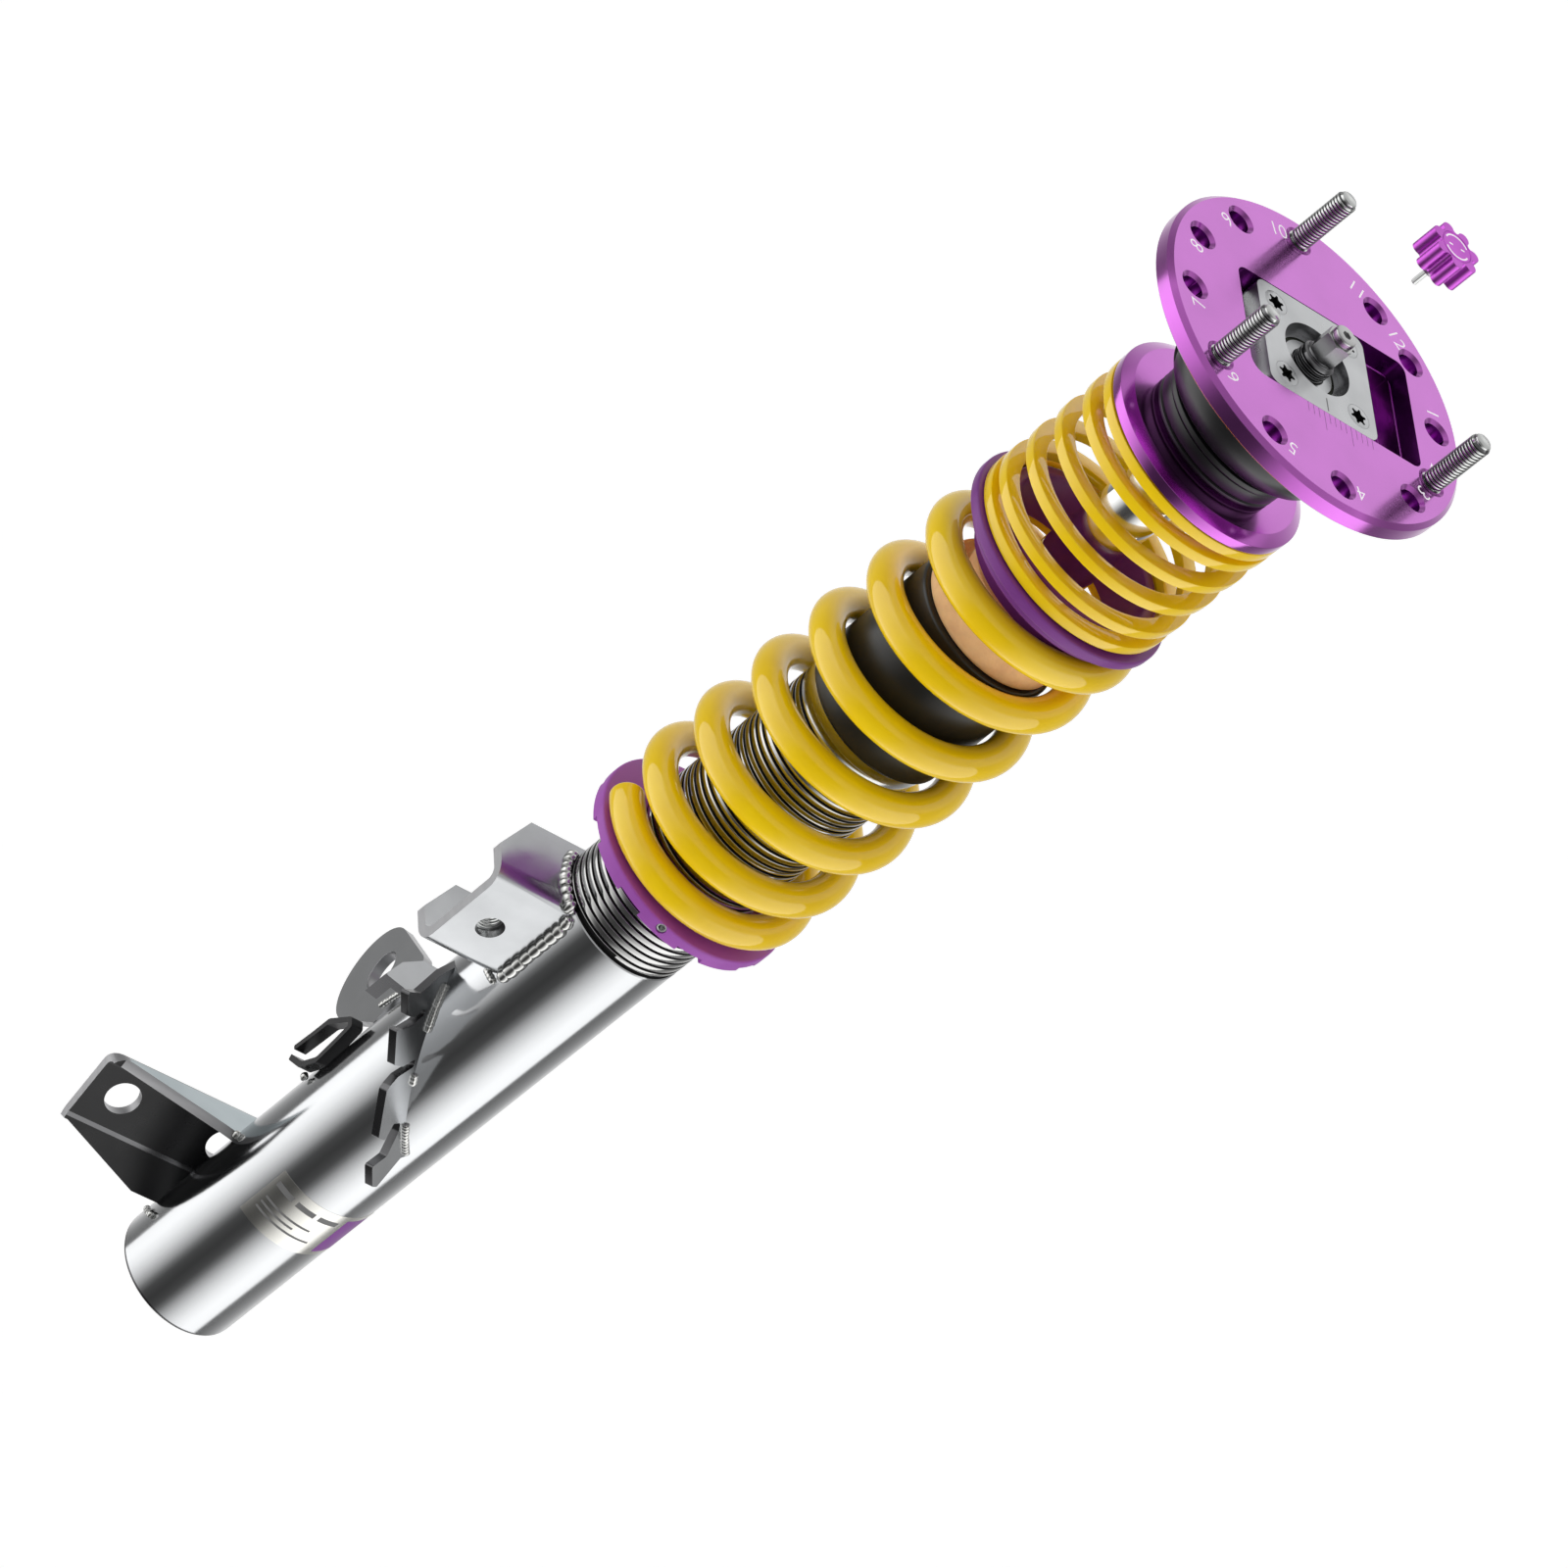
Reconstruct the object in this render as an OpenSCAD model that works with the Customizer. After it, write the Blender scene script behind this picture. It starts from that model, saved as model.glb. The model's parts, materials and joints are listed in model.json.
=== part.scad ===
// Height-adjustable strut with a threaded spring perch, a main spring and a helper spring,
// a sliding camber plate on a ball joint, and a damping adjuster with its pull-off knob.
// The origin is the centre of the tube's lower end, +Z runs up the strut and +X points out
// over the knuckle brackets.

/* [Strut tube] */
// Outside diameter of the strut tube
tube_d = 53; // [52:0.5:53.5]
// Wall thickness of the strut tube
tube_wall = 3.5; // [3:0.5:4]
// Height of the tube's upper end
tube_top = 381; // [379:1:381]
// Height where the threaded sleeve begins
thread_z = 254.5; // [254:0.5:257]
// Diameter of the gland nut's collar
collar_d = 54; // [53.5:0.5:55]
// Diameter of the black end cap over the gland nut
cap_d = 58; // [57:0.5:58.4]
// Height of the end cap's top face
cap_top = 442; // [436:1:442]
// Height of the bump stop's top
bump_top = 466; // [460:1:467]
// Largest diameter of the bump stop
bump_d = 55; // [50:0.5:57]
// Diameter of the piston rod
rod_d = 22; // [20:0.5:22]

/* [Knuckle bracket] */
// Thickness of the bracket sheet
sheet = 4; // [3:0.5:4.5]
// Angle at which the bracket leans back
knuckle_tilt = 17; // [14:1:18]
// Reach of the bracket from the strut axis
knuckle_reach = 75; // [72:1:76]
// Diameter of the two knuckle bolt holes
knuckle_hole_d = 13.75; // [12:0.25:14]
// Distance of the outer bolt hole from the strut axis
knuckle_hole_x = 60.5; // [58:0.5:61]
// Distance between the two bolt holes
knuckle_hole_gap = 46; // [44:0.5:46]

/* [Clevis bracket] */
// Lower side of the clevis
clevis_z = 209.1; // [206:0.1:212]
// Height of the clevis along the strut
clevis_h = 45.5; // [43:0.5:46]
// Reach of the clevis from the strut axis
clevis_reach = 56.7; // [54:0.1:58]
// Diameter of the clevis bolt hole
clevis_hole_d = 10.5; // [9:0.5:11]

/* [Stabiliser tab and hose holders] */
// Diameter of the link hole in the stabiliser tab
tab_hole_d = 16.3; // [14:0.1:17]
// Thickness of the toothed hose bracket
comb_t = 3.2; // [3:0.1:4]
// Thickness of the hose arm
arm_t = 3.6; // [3:0.1:4]

/* [Springs] */
// Wire diameter of the main spring
wire_d = 12.5; // [11:0.25:12.5]
// Mean radius of the main spring
coil_r = 36.25; // [36:0.25:37]
// Outer radius of the helper spring
helper_r = 40.2; // [39.5:0.1:40.5]
// Radial width of the helper spring's flat wire
helper_w = 6.2; // [5:0.1:6.4]
// Thickness of the helper spring's flat wire
helper_t = 3.9; // [3.4:0.1:4]

/* [Spring perch and coupler] */
// Diameter of the spring perch
perch_d = 83; // [82:0.2:84]
// Number of spanner notches in the perch
perch_notches = 9; // [6:1:10]
// Diameter of the coupler's flange
coupler_d = 84.4; // [82:0.2:86]
// Outer diameter of the coupler's hub
hub_d = 66.4; // [65:0.2:66.6]

/* [Top mount] */
// Diameter of the camber plate
plate_d = 129.7; // [126:0.1:131]
// Thickness of the camber plate
plate_t = 7.15; // [7:0.05:7.5]
// Length of the camber slot
slot_l = 76; // [70:1:76]
// Width of the camber slot
slot_w = 47.5; // [47.4:0.1:48]
// Pitch circle of the studs and the free stud holes
stud_circle = 109; // [108:0.5:110]
// Diameter of the studs
stud_d = 8; // [7:1:8]
// Height of the stud tips
stud_top = 622; // [615:1:625]
// Diameter of the free stud holes
free_hole_d = 8.5; // [8:0.1:9]
// Length of the slider along the slot
slider_l = 48; // [46:0.5:48]
// Radius of the swivel ball
ball_r = 13; // [12:0.25:13]

/* [Adjuster] */
// Diameter of the adjuster knob across its lobes
knob_d = 20; // [18:0.5:22]
// Height of the adjuster knob
knob_h = 10; // [9:0.5:11]
// Number of lobes round the knob
knob_lobes = 7; // [6:1:9]
// Height of the hex pin's tip with the knob pulled off
pin_tip = 641.5; // [640:0.5:645]

/* [Hidden] */
$fn = 96;

e = 0.01;                         // overshoot of a cut past a face
fit = 0.05;                       // radial clearance of a running fit
gap = 0.3;                        // clearance between moving pieces that don't guide each other
tube_r = tube_d / 2;
bore_r = tube_r - tube_wall;
neck_r = tube_r - 1.5;            // tube radius under the threaded sleeve
collar_top = tube_top + 4;
rod_r = rod_d / 2;
guide_z = 352;                    // lower end of the rod guide
gland_z = 372;                    // lower end of the gland nut
shank_r = 7;                      // rod shank that carries the top mount
shoulder_z = 552;                 // shoulder between rod and shank
shank_top = 592;
thread_top = 600.7;
hex_top = 609;
needle_r = 2.5;
socket_z = 609.8;                 // bottom of the adjuster's hex socket
seat_z = 291.25;                  // main spring seat on the perch
perch_z = 285.2;
coupler_z = 474;                  // main spring seat under the coupler
flange_z = 478.5;
helper_z = 482.5;                 // helper spring seat on the coupler
hub_top = 487.5;
upper_z = 544.9;                  // helper spring seat under the upper seat
upper_top = 551;
plate_z = 590.85;
plate_top = plate_z + plate_t;
ball_z = 586;                     // centre of the swivel ball
ball_flat = 7.6;                  // half height of the ball
race_r = 19;
flange_t = 3.75;                  // flange of the bearing cup
hole_z = 50.2;                    // height of the knuckle bolt holes along the leaning web
screw_r = 22.7;                   // slider screws sit on this radius
press_r = stud_d / 2 + 0.25;       // stud shank pressed into the plate
stud_angles = [30, 150, 270];
free_angles = [0, 61, 93, 132, 180, 210, 232, 300, 330];

// Height of the main spring's wire centre: [turns, height]
main_rise = [[0, 297.5], [0.17, 299.6], [0.32, 302], [0.92, 313.1], [1.92, 339.6], [2.92, 369.2],
    [3.92, 398.5], [4.92, 427.6], [5.92, 457.4], [6.42, 466.6], [6.82, 467.7]];
// Height of the helper spring's lower edge: [turns, height]
helper_rise = [[0, 482.5], [0.66, 483.2], [1, 486.6], [1.16, 487.5], [1.66, 491.9], [2.66, 505.5],
    [3.66, 519], [4.66, 532.2], [5.5, 540.2], [6.05, 541]];
main_start = -10;
helper_start = -186.5;

// ---- shared shapes ----

// Solid of revolution from [radius, height] points
module turned(points) {
    rotate_extrude() polygon(points);
}

// Plain ring with chamfered outer edges
module ring(r_in, r_out, z0, z1, c = 0.4) {
    turned([[r_in, z0], [r_out - c, z0], [r_out, z0 + c], [r_out, z1 - c], [r_out - c, z1],
        [r_in, z1]]);
}

// Rounded rectangle with true round corners, centred
module rounded(x, y, r) {
    union() {
        square([x - 2 * r, y], center = true);
        square([x, y - 2 * r], center = true);
        for (i = [-1, 1], j = [-1, 1])
            translate([i * (x / 2 - r), j * (y / 2 - r)]) circle(r = r);
    }
}

// Removes the space that the strut tube takes
module tube_space() {
    cylinder(r = tube_r, h = 2 * tube_top, center = true);
}

// Wedge from angle a0 to a1 (under 180 degrees), reaching radius r
module wedge(a0, a1, r, z0, z1) {
    mid = (a0 + a1) / 2;
    far = r / cos((a1 - a0) / 2);
    translate([0, 0, z0]) linear_extrude(z1 - z0)
        polygon([[0, 0], far * [cos(a0), sin(a0)], 2 * far * [cos(mid), sin(mid)],
            far * [cos(a1), sin(a1)]]);
}

// Height on a smooth curve through [turns, height] points
function rise(k, i) = (k[i + 1][1] - k[i][1]) / (k[i + 1][0] - k[i][0]);
function grade(k, i) =
    i == 0 ? rise(k, 0)
    : i == len(k) - 1 ? rise(k, i - 1)
    : 2 * rise(k, i - 1) * rise(k, i) / (rise(k, i - 1) + rise(k, i) + 1e-6);
function span(k, n, i = 0) = i >= len(k) - 2 || n <= k[i + 1][0] ? i : span(k, n, i + 1);
function height_at(k, n) =
    let (i = span(k, n), w = k[i + 1][0] - k[i][0], t = (n - k[i][0]) / w)
    (1 + 2 * t) * pow(1 - t, 2) * k[i][1] + t * pow(1 - t, 2) * w * grade(k, i)
    + t * t * (3 - 2 * t) * k[i + 1][1] + t * t * (t - 1) * w * grade(k, i + 1);

// Coil swept along a rising helix; section holds [radial, axial] points in clockwise order
module coil(k, r, start, section, per_turn) {
    turns = k[len(k) - 1][0];
    rings = ceil(turns * per_turn);
    m = len(section);
    points = [for (i = [0 : rings]) let (n = turns * i / rings, a = start + 360 * n,
        z = height_at(k, n)) for (s = section)
        [(r + s[0]) * cos(a), (r + s[0]) * sin(a), z + s[1]]];
    faces = concat(
        [[for (j = [0 : m - 1]) j]],
        [for (i = [0 : rings - 1], j = [0 : m - 1]) let (a = i * m + j, b = i * m + (j + 1) % m)
            [a, a + m, b + m, b]],
        [[for (j = [m - 1 : -1 : 0]) rings * m + j]]);
    polyhedron(points, faces, convexity = 12);
}

// ---- strut body ----

module strut_tube() {
    color("gainsboro") turned([[bore_r, 0], [tube_r - 1, 0], [tube_r, 1], [tube_r, thread_z],
        [neck_r, thread_z], [neck_r, tube_top], [bore_r, tube_top]]);
}

module base_cap() {
    color("dimgray") turned([[0, 0], [bore_r, 0], [bore_r, 6], [bore_r - 3, 6], [bore_r - 6, 4],
        [0, 4]]);
}

module base_valve() {
    ports = 6;
    color("silver") difference() {
        turned([[0, 6], [bore_r - 1, 6], [bore_r - 1, 8], [17, 8], [17, 16], [0, 16]]);
        for (i = [0 : ports - 1]) rotate(360 / ports * i)
            translate([11, 0, 5]) cylinder(r = 2, h = 12);
    }
}

module pressure_tube() {
    color("silver") turned([[17, 8], [18.5, 8], [18.5, guide_z], [17, guide_z]]);
}

module rod_guide() {
    color("darkgray") turned([[rod_r + fit, guide_z], [20, guide_z], [20, guide_z + 8],
        [bore_r, guide_z + 10], [bore_r, gland_z], [rod_r + fit, gland_z]]);
}

module rod_seal() {
    color("black") turned([[rod_r + fit, gland_z], [16, gland_z], [16, gland_z + 8],
        [rod_r + 2, gland_z + 8], [rod_r + fit, gland_z + 7]]);
}

module gland_nut() {
    color("silver") turned([[16, gland_z], [bore_r, gland_z], [bore_r, tube_top],
        [collar_d / 2 - 0.5, tube_top], [collar_d / 2, tube_top + 0.5],
        [collar_d / 2, collar_top - 0.5], [collar_d / 2 - 0.5, collar_top],
        [rod_r + 0.6, collar_top], [rod_r + 0.6, gland_z + 8], [16, gland_z + 8]]);
}

module threaded_sleeve() {
    color("darkgray") turned([[neck_r, thread_z], [tube_r - 0.8, thread_z], [tube_r, thread_z + 0.8],
        [tube_r, tube_top - 1], [tube_r - 1, tube_top], [neck_r, tube_top]]);
}

module end_cap() {
    r = cap_d / 2;
    color("black") turned([[22, collar_top], [26, collar_top], [26, collar_top + 1],
        [r - 0.6, collar_top + 1], [r, collar_top + 1.6], [r, cap_top - 0.8], [r - 0.8, cap_top],
        [rod_r + 1, cap_top], [rod_r + 1, cap_top - 4], [r - 4, cap_top - 4],
        [r - 4, collar_top + 5], [22, collar_top + 5]]);
}

module bump_stop() {
    r = bump_d / 2;
    mid = (cap_top + bump_top) / 2;
    color("darkorange") turned([[rod_r + 0.6, cap_top], [r - 1.5, cap_top], [r, cap_top + 2],
        [r, mid - 3], [r - 1.5, mid - 1], [r - 6, mid - 1], [r - 6, mid + 1.5],
        [r - 3, mid + 3.5], [r - 3, bump_top - 4], [r - 8, bump_top], [rod_r + 0.6, bump_top]]);
}

// ---- brackets on the tube ----

// Two-hole sheet bracket: an upright web, a flange over it and a lower apron bent forward
module knuckle_bracket() {
    face = -10;                   // front face of the web
    back = face - sheet;
    top = 66.8;                   // top face of the flange
    bend = 35.5;                  // height where the apron begins
    apron = 17;                   // forward bend of the apron
    apron_l = 16.4;
    front_y = face + apron_l * sin(apron);
    front_z = bend - apron_l * cos(apron);
    corner = 7;
    color("dimgray") difference() {
        rotate([knuckle_tilt, 0, 0]) difference() {
            rotate([90, 0, 90]) linear_extrude(knuckle_reach)
                polygon([[9, top], [back, top], [back, bend - sheet * tan(apron / 2)],
                    [front_y - sheet * cos(apron), front_z - sheet * sin(apron)],
                    [front_y, front_z], [face, bend], [face, top - sheet], [9, top - sheet]]);
            translate([0, 0, top - sheet - 1]) linear_extrude(sheet + 2)
                polygon([[knuckle_reach + 5, face + e], [knuckle_reach - 4, face + e], [29.3, 5.8],
                    [22, 8.8], [22, 20], [knuckle_reach + 5, 20]]);
            translate([0, face, bend]) rotate([90 + apron, 0, 0]) translate([0, 0, -sheet])
                linear_extrude(3 * sheet) polygon([[knuckle_reach + 5, -2.3],
                    [knuckle_reach - 1.5, -2.3], [36, -apron_l], [36, -30],
                    [knuckle_reach + 5, -30]]);
            translate([knuckle_reach - corner, face + 5, top - corner]) rotate([90, 0, 0])
                linear_extrude(sheet + 10) difference() {
                    square(corner + 5);
                    circle(r = corner);
                }
            for (x = [knuckle_hole_x, knuckle_hole_x - knuckle_hole_gap])
                translate([x, face + 1, hole_z]) rotate([90, 0, 0])
                    cylinder(d = knuckle_hole_d, h = sheet + 2);
        }
        tube_space();
    }
}

// U-shaped bracket with its open side away from the bolt hole
module clevis_bracket() {
    face = 12;                    // front face of the web
    r_out = 7.5;
    r_in = r_out - sheet;
    depth = 40;
    color("silver") difference() {
        intersection() {
            translate([0, 0, clevis_z]) rotate([90, 0, 90]) linear_extrude(clevis_reach)
                difference() {
                    union() {
                        translate([face - depth, 0]) square([depth - r_out, clevis_h]);
                        translate([face - r_out - e, r_out]) square([r_out + e, clevis_h - 2 * r_out]);
                        for (z = [r_out, clevis_h - r_out])
                            translate([face - r_out, z]) circle(r = r_out);
                    }
                    union() {
                        translate([face - depth - e, sheet])
                            square([depth - r_out + e, clevis_h - 2 * sheet]);
                        translate([face - r_out - e, r_out])
                            square([r_out - sheet + e, clevis_h - 2 * r_out]);
                        for (z = [r_out, clevis_h - r_out])
                            translate([face - r_out, z]) circle(r = r_in);
                    }
                }
            translate([0, 0, clevis_z - 1]) linear_extrude(clevis_h + 2)
                polygon([[0, face + 1], [clevis_reach, face + 1], [clevis_reach, -3.5],
                    [42.1, -20.4], [0, -20.4]]);
        }
        translate([42.8, face + 1, clevis_z + 22]) rotate([90, 0, 0])
            cylinder(d = clevis_hole_d, h = sheet + 2);
        tube_space();
    }
}

// Welded nut behind the clevis hole
module clevis_nut() {
    height = 6;
    color("gray") translate([42.8, 12 - sheet, clevis_z + 22]) rotate([90, 0, 0]) difference() {
        cylinder(d = 17, h = height, $fn = 6);
        translate([0, 0, -e]) cylinder(d = clevis_hole_d - 1.8, h = height + 2 * e);
    }
}

// Ear for the stabiliser link
module stabiliser_tab() {
    yaw = 257;                    // direction in which the ear reaches out
    color("gray") difference() {
        translate([20, -20, 0]) rotate([90, 0, yaw]) difference() {
            linear_extrude(sheet) hull() {
                translate([31, 130.4]) circle(r = 20, $fn = 32);
                translate([11, 158]) circle(r = 7, $fn = 32);
                translate([0, 141]) circle(r = 3, $fn = 32);
            }
            translate([27.4, 137.1, -1]) cylinder(d = tab_hole_d, h = sheet + 2);
        }
        tube_space();
    }
}

// Toothed sheet that carries the brake hose and the sensor lead
module hose_comb_bracket() {
    centre_z = 158.1;             // height where the sheet's plane meets the strut axis
    outline = [[0, -40], [22, -41], [36.3, -37.8], [45, -41.2], [45.7, -40], [42, -30.5],
        [36.7, -28.2], [29.8, -29.6], [29.8, -26.8], [35.7, -25.7], [43.7, -25.6], [48.5, -27.2],
        [43.8, -11.4], [37, -8.4], [28.5, -8.6], [28.2, -5.4], [38.8, -5], [43.4, -2.9],
        [45.2, -1.4], [42.9, 18.5], [37.6, 21.3], [33.6, 16], [28.6, 17.5], [28.2, 21],
        [33.2, 29.4], [42.7, 30.4], [39, 39.8], [35.6, 41.1], [21.9, 34.3], [0, 38]];
    color("slategray") difference() {
        translate([0, 0, centre_z]) rotate([-56.7, 0, 46.8]) translate([0, 0, -comb_t])
            linear_extrude(comb_t) polygon(outline);
        tube_space();
    }
}

// Small arm with a turned-down lip
module hose_arm() {
    top = 172;
    lip = 11.6;
    color("gray") difference() {
        union() {
            translate([0, 0, top - arm_t]) linear_extrude(arm_t)
                polygon([[12, -22], [26.5, -5.9], [31, -5], [36, -6.5], [41, -8], [33, -17.3],
                    [23, -23]]);
            translate([0, 0, top - lip]) linear_extrude(lip)
                polygon([[36, -6.5], [41, -8], [33, -17.3], [31, -14]]);
        }
        tube_space();
    }
}

// U-shaped strip that clips a line to the tube
module hose_clip() {
    color("black") difference() {
        translate([24, 0, 0]) rotate([90, 0, 90]) linear_extrude(5)
            polygon([[-25.2, 105], [-24.6, 115.5], [-24.4, 125.4], [-17, 138], [-12.6, 138],
                [-11, 128.5], [-9.6, 117], [-13.4, 107.4], [-21, 101.6], [-22.4, 103.4],
                [-15.2, 109.2], [-11.8, 117.4], [-13.2, 128.2], [-14.4, 135.8], [-15.8, 135.8],
                [-22.2, 124.5], [-22.6, 115.2], [-23.2, 105]]);
        tube_space();
    }
}

// ---- springs, perch and coupler ----

module main_spring() {
    sides = 12;
    color("gold") coil(main_rise, coil_r, main_start,
        [for (j = [0 : sides - 1]) wire_d / 2 * [cos(-360 * j / sides), sin(-360 * j / sides)]], 28);
}

module helper_spring() {
    w = helper_w / 2;
    color("gold") coil(helper_rise, helper_r - w, helper_start,
        [[-w, 0], [-w, helper_t], [w, helper_t], [w, 0]], 40);
}

// Threaded ring that the main spring stands on
module spring_perch() {
    r = perch_d / 2;
    notch_w = 11;
    color("mediumorchid") difference() {
        turned([[tube_r + fit, perch_z + 0.5], [tube_r + fit + 0.5, perch_z], [r - 0.8, perch_z],
            [r, perch_z + 0.8], [r, seat_z - 0.6], [r - 0.6, seat_z], [29.6, seat_z],
            [29.6, seat_z + 4], [28.6, seat_z + 5], [tube_r + fit, seat_z + 5]]);
        for (i = [0 : perch_notches - 1]) rotate(6.9 + 360 / perch_notches * i)
            translate([r - 5, -notch_w / 2, perch_z - 1]) cube([10, notch_w, 3.4]);
        rotate(66.9) translate([tube_r, 0, 289]) rotate([0, 90, 0]) cylinder(r = 2, h = 20);
    }
}

// Set screw that locks the perch on the thread
module perch_set_screw() {
    hex = 1.1;
    color("silver") rotate(66.9) translate([tube_r + 0.6, 0, 289]) rotate([0, 90, 0]) difference() {
        cylinder(r = 2, h = perch_d / 2 - tube_r - 1.2);
        translate([0, 0, perch_d / 2 - tube_r - 3.2]) cylinder(r = hex, h = 3, $fn = 6);
    }
}

// Ring between the main spring and the helper spring
module spring_coupler() {
    r = coupler_d / 2;
    r_hub = hub_d / 2;
    r_skirt = 29.8;
    r_in = cap_d / 2 + gap;
    color("rebeccapurple") turned([[r_in, coupler_z - 7], [r_skirt, coupler_z - 7],
        [r_skirt, coupler_z], [39, coupler_z], [40.2, coupler_z + 1.2], [40.2, flange_z],
        [r - 0.6, flange_z], [r, flange_z + 0.6], [r, helper_z - 0.8], [r - 0.8, helper_z],
        [r_hub, helper_z], [r_hub, hub_top - 0.8], [r_hub - 0.8, hub_top], [r_in + 0.6, hub_top],
        [r_in, hub_top - 0.6]]);
}

// ---- piston rod and what is fixed on it ----

module piston_rod() {
    color("silver") difference() {
        union() {
            turned([[0, 310], [6, 310], [6, 340], [rod_r - 1, 340], [rod_r, 341],
                [rod_r, shoulder_z], [shank_r, shoulder_z], [shank_r, shank_top],
                [6.7, shank_top + 0.3], [6.7, thread_top - 0.8], [5.9, thread_top], [0, thread_top]]);
            translate([0, 0, thread_top - e]) cylinder(r = 5.75, h = hex_top - thread_top + e, $fn = 6);
        }
        translate([0, 0, 300]) cylinder(r = needle_r + fit, h = 320);
    }
}

module piston() {
    ports = 8;
    color("silver") difference() {
        turned([[6, 321], [14, 321], [14, 322], [16, 322], [16, 336], [14, 336], [14, 338],
            [6, 338]]);
        for (i = [0 : ports - 1]) rotate(360 / ports * i)
            translate([10.5, 0, 320]) cylinder(r = 1.6, h = 20);
    }
}

module piston_band() {
    color("white") turned([[16, 323], [17 - fit, 323], [17 - fit, 335], [16, 335]]);
}

module piston_nut() {
    color("gray") translate([0, 0, 312]) difference() {
        cylinder(r = 11, h = 9, $fn = 6);
        translate([0, 0, -e]) cylinder(r = 6, h = 9 + 2 * e);
    }
}

module rebound_stop() {
    color("black") turned([[rod_r, 345], [16, 345], [16, 351], [15, 352 - gap], [rod_r, 352 - gap]]);
}

module bump_washer() {
    color("silver") ring(rod_r, 19, 543, 546);
}

module bearing_sleeve() {
    neck = 9.5;                   // clears the race when the mount tilts
    color("silver") turned([[shank_r, shoulder_z], [12, shoulder_z], [12, ball_z - 12.5],
        [neck, ball_z - 10], [neck, ball_z - ball_flat], [shank_r, ball_z - ball_flat]]);
}

// Upper race of the thrust bearing, with a skirt over the balls and a wider seal lip
module bearing_upper_race() {
    color("black") turned([[12, 557.4], [24, 557.4], [24, 553.9], [26.5, 553.9], [26.9, 554.3],
        [26.9, 558.4], [26.2, 558.7], [26.2, 559.2], [27.6, 559.2], [28.1, 559.7], [28.1, 561],
        [27.7, 561.4], [12, 561.4]]);
}

// ---- upper spring seat, which turns on its bearing ----

module upper_seat() {
    color("darkorchid") turned([[rod_r + fit, 546.3], [21, 546.3], [21, upper_z], [30.5, upper_z],
        [30.5, upper_z - 2.5], [33.2, upper_z - 2.5], [33.2, upper_z], [39.9, upper_z],
        [40.3, upper_z + 0.4], [40.3, 548.3], [39.7, 548.9], [36, upper_top], [rod_r + fit, upper_top]]);
}

module bearing_lower_race() {
    color("black") turned([[12.4, upper_top], [25.6, upper_top], [26.8, upper_top + 1.2],
        [26.8, 553.2], [26.4, 553.5], [23.7, 553.5], [23.7, 553.1], [12.4, 553.1]]);
}

module bearing_balls() {
    balls = 14;
    color("silver") for (i = [0 : balls - 1]) rotate(360 / balls * i)
        translate([18, 0, 555.25]) sphere(r = 1.9, $fn = 24);
}

// ---- ball joint ----

module swivel_ball() {
    color("lightgray") difference() {
        intersection() {
            translate([0, 0, ball_z]) sphere(r = ball_r);
            cylinder(r = 2 * ball_r, h = ball_z + ball_flat);
        }
        cylinder(r = 2 * ball_r, h = ball_z - ball_flat);
        translate([0, 0, ball_z - 20]) cylinder(r = shank_r + fit, h = 40);
    }
}

module swivel_liner() {
    color("darkolivegreen") difference() {
        intersection() {
            translate([0, 0, ball_z]) sphere(r = ball_r + 0.9);
            translate([0, 0, ball_z - 6.4]) cylinder(r = 2 * ball_r, h = 12.8);
        }
        translate([0, 0, ball_z]) sphere(r = ball_r + fit);
    }
}

module swivel_race() {
    color("lightgray") difference() {
        translate([0, 0, ball_z - 7.4]) cylinder(r = race_r, h = 14.8);
        translate([0, 0, ball_z]) sphere(r = ball_r + 0.9 + fit);
    }
}

// Steel cup that holds the race and hangs from the slider
module bearing_cup() {
    color("lightgray") difference() {
        union() {
            ring(15.5, 31, 568, plate_z - gap - flange_t, 1);
            translate([0, 0, plate_z - gap - flange_t]) linear_extrude(flange_t)
                rounded(slider_l + 2, slot_w + 12.5, 8);
        }
        translate([0, 0, 560]) cylinder(r = 15.5, h = 40);
        translate([0, 0, 576.9]) cylinder(r = race_r, h = 20);
        translate([0, 0, 560]) cylinder(r1 = 28, r2 = 15.5, h = 14);
        slider_holes(2.6);
    }
}

module slider_holes(r) {
    for (i = [0 : 3]) rotate(45 + 90 * i)
        translate([screw_r, 0, 580]) cylinder(r = r, h = 30, $fn = 32);
}

// Black cover over the cup, cut away on one side
module mount_cover() {
    color("dimgray") difference() {
        turned([[27.6, 562.9], [29, 562.9], [31.8, 564.6], [34.2, 567.8], [36.2, 572], [37, 577],
            [37, plate_z - gap - flange_t], [35, plate_z - gap - flange_t], [35, 577],
            [34.3, 572.6], [32.6, 569.2], [30.4, 566.2], [27.6, 564.6]]);
        wedge(-52, -6, 40, 566.5, 584);
    }
}

module retaining_ring() {
    color("gray") difference() {
        turned([[16.5, 576.9], [race_r, 576.9], [race_r, 578.6], [16.5, 578.6]]);
        rotate(-90) translate([0, -3, 570]) cube([30, 6, 20]);
    }
}

// Square slider that sets the camber
module camber_slider() {
    corner = 6;
    color("silver") difference() {
        translate([0, 0, plate_z - gap]) linear_extrude(plate_t + gap - 0.1)
            rounded(slider_l, slot_w - 0.5, corner);
        translate([0, 0, plate_z - 10]) cylinder(r = race_r, h = 10 + 593.4 - plate_z);
        translate([0, 0, plate_z]) cylinder(r = 14.3, h = 20);
        slider_holes(2.6);
        for (i = [0 : 3]) rotate(45 + 90 * i)
            translate([screw_r, 0, plate_top - 3]) cylinder(r = 4.8, h = 5);
    }
}

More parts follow.
